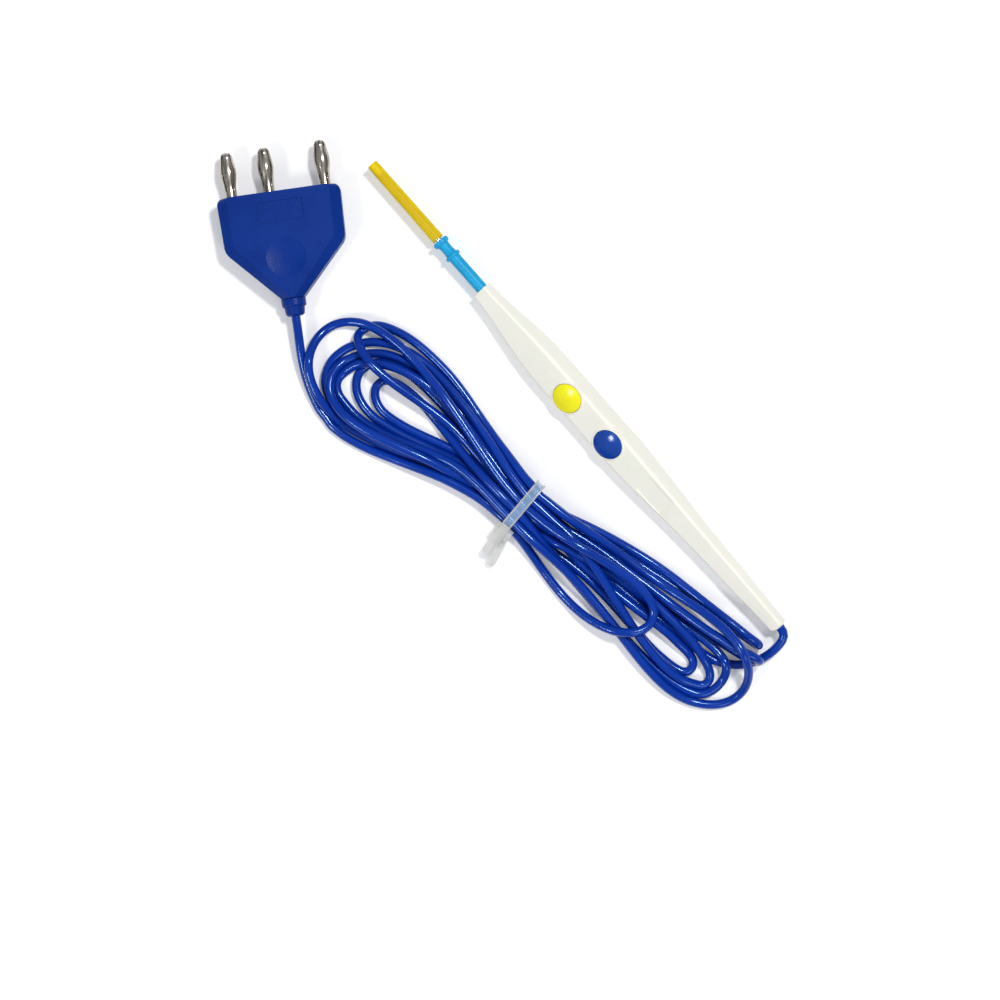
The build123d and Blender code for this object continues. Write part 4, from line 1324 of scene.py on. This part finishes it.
    def merge(self, mesh: bmesh.types.BMesh, piece: bmesh.types.BMesh) -> None:
        """Bevel a milky piece and add it to the tie.

        Args:
            mesh: the tie's mesh.
            piece: the piece, which is used up.
        """
        bmesh.ops.recalc_face_normals(piece, faces=piece.faces[:])
        bmesh.ops.bevel(piece, geom=piece.edges[:], offset=self.bevel, segments=self.bevel_steps,
                        affect="EDGES", profile=self.bevel_swell)
        for face in piece.faces:
            face.material_index = Nylon.MILKY.value
        part = bpy.data.meshes.new("tie_part")
        piece.to_mesh(part)
        piece.free()
        mesh.from_mesh(part)
        bpy.data.meshes.remove(part)

    def build(self) -> bpy.types.Object:
        """The tie as one mesh on the handle's body.

        Returns:
            The tie's object.
        """
        mesh = bmesh.new()
        self.strap(mesh)
        self.plate(mesh, self.upper_end)
        self.plate(mesh, self.lower_end)
        self.head(mesh)
        bmesh.ops.recalc_face_normals(mesh, faces=mesh.faces[:])
        data = bpy.data.meshes.new("clear_tie")
        mesh.to_mesh(data)
        mesh.free()
        for finish in (CLEAR_TIE, MILKY_TIE):
            data.materials.append(finish.material())
        made = add_object("clear_tie", data)
        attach(made, HANDLE)
        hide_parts("cord_tie")
        return made


@dataclass
class Cord:
    """The blue cord, from the pencil's tail through the hank to the plug.

    Attributes:
        diameter: its diameter.
        length: its real length.
        hank: its folded turns.
        pencil_stretch: the free stretch from inside the handle's tail to the first turn.
        plug_stretch: the free stretch from the last turn to inside the plug.
        facets: how finely its round section is divided.
        smoothness: how finely each part of its line is divided.
        finish: its finish.
    """

    diameter: float = 0.0031
    length: float = 2.67
    hank: Hank = field(default_factory=Hank)
    pencil_stretch: tuple[Point, ...] = (
        (-0.1038, -0.00075, 0.00618), (-0.1069, -0.00075, 0.00618), (-0.1086, 0.0040, 0.0050),
        (-0.1084, 0.0110, 0.0029), (-0.1052, 0.0180, 0.0016), (-0.0989, 0.0230, 0.0016))
    plug_stretch: tuple[Point, ...] = (
        (0.0548, 0.0672, 0.0016), (0.0629, 0.0646, 0.0024), (0.0704, 0.0606, 0.0044),
        (0.07703, 0.05595, 0.0060), (0.08254, 0.05232, 0.0060))
    facets: int = 5
    smoothness: int = 3
    finish: Plastic = CORD_BLUE

    def line(self) -> list[Point]:
        """The control points of the whole cord.

        Returns:
            The points in metres, from the pencil to the plug.
        """
        blocks = list(zip(self.pencil_stretch, self.pencil_stretch[1:]))
        blocks += list(zip(self.plug_stretch, self.plug_stretch[1:]))
        turns = self.hank.settle(self.pencil_stretch[-1], self.plug_stretch[0], blocks)
        middle = [tuple(map(float, point)) for point in turns[1:-1]]
        return [*self.pencil_stretch, *middle, *self.plug_stretch]

    def build(self, tie: bpy.types.Object) -> bpy.types.Object:
        """The cord as one smooth curve on the handle's body.

        Args:
            tie: the tie round its hank; not used.

        Returns:
            The cord's object.
        """
        points = self.line()
        data = bpy.data.curves.new("cord", "CURVE")
        data.dimensions = "3D"
        data.bevel_depth = self.diameter / 2
        data.bevel_resolution = self.facets
        data.resolution_u = self.smoothness
        data.use_fill_caps = True
        spline = data.splines.new("NURBS")
        spline.points.add(len(points) - 1)
        for control, point in zip(spline.points, points):
            control.co = (*point, 1.0)
        spline.order_u = 3
        spline.use_endpoint_u = True
        data.materials.append(self.finish.material())
        made = add_object("cord", data)
        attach(made, HANDLE)
        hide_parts("cord_pencil_tail", "cord_hank", "cord_plug_tail")
        return made


@dataclass(frozen=True)
class Dressing:
    """Finishes for the solids that stay in view.

    Attributes:
        finishes: each finish and the solids that it goes on.
    """

    finishes: tuple[tuple[Finish, tuple[str, ...]], ...] = (
        (WHITE_SHELL, ("top_shell", "bottom_shell")),
        (YELLOW_BUTTON, ("cut_button",)),
        (BLUE_BUTTON, ("coag_button",)),
        (BLUE_SLEEVE, ("electrode_sleeve",)),
        (YELLOW_TUBE, ("blade_cover",)),
        (STEEL, ("blade_electrode",)),
        (BRASS, ("electrode_socket",)),
        (DOME_STEEL, ("cut_dome", "coag_dome")),
        (Laminate(), ("circuit_board",)),
        (CRIMP, ("crimp_ring",)),
        (CORE_RED, ("active_wire",)),
        (CORE_WHITE, ("cut_wire",)),
        (CORE_BLACK, ("coag_wire",)),
        (PLUG_BLUE, ("plug_body",)),
        (NICKEL, PINS),
    )

    def apply(self) -> dict[str, str]:
        """Give each solid its finish.

        Returns:
            The name of each solid's material, by the solid's name.
        """
        dressed = {}
        for finish, names in self.finishes:
            material = finish.material()
            for name in names:
                repaint(name, material)
                dressed[name] = material.name
        return dressed


def main() -> None:
    """Build the studio, the tie and the cord, dress the solids, and report each piece."""
    logging.basicConfig(level=logging.INFO, format="%(name)s: %(message)s")
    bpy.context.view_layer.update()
    Studio().build()
    LOG.info("studio: camera, floor, lamps and sky")
    tie = Tie().build()
    LOG.info("%s: %d faces", tie.name, len(tie.data.polygons))
    cord = Cord().build(tie)
    LOG.info("%s: %d control points", cord.name, len(cord.data.splines[0].points))
    vinyl = cord.data.materials[0]
    repaint("cord_in_handle", vinyl)
    LOG.info("cord_in_handle: %s", vinyl.name)
    for name, material in Dressing().apply().items():
        LOG.info("%s: %s", name, material)


if __name__ == "__main__":
    main()
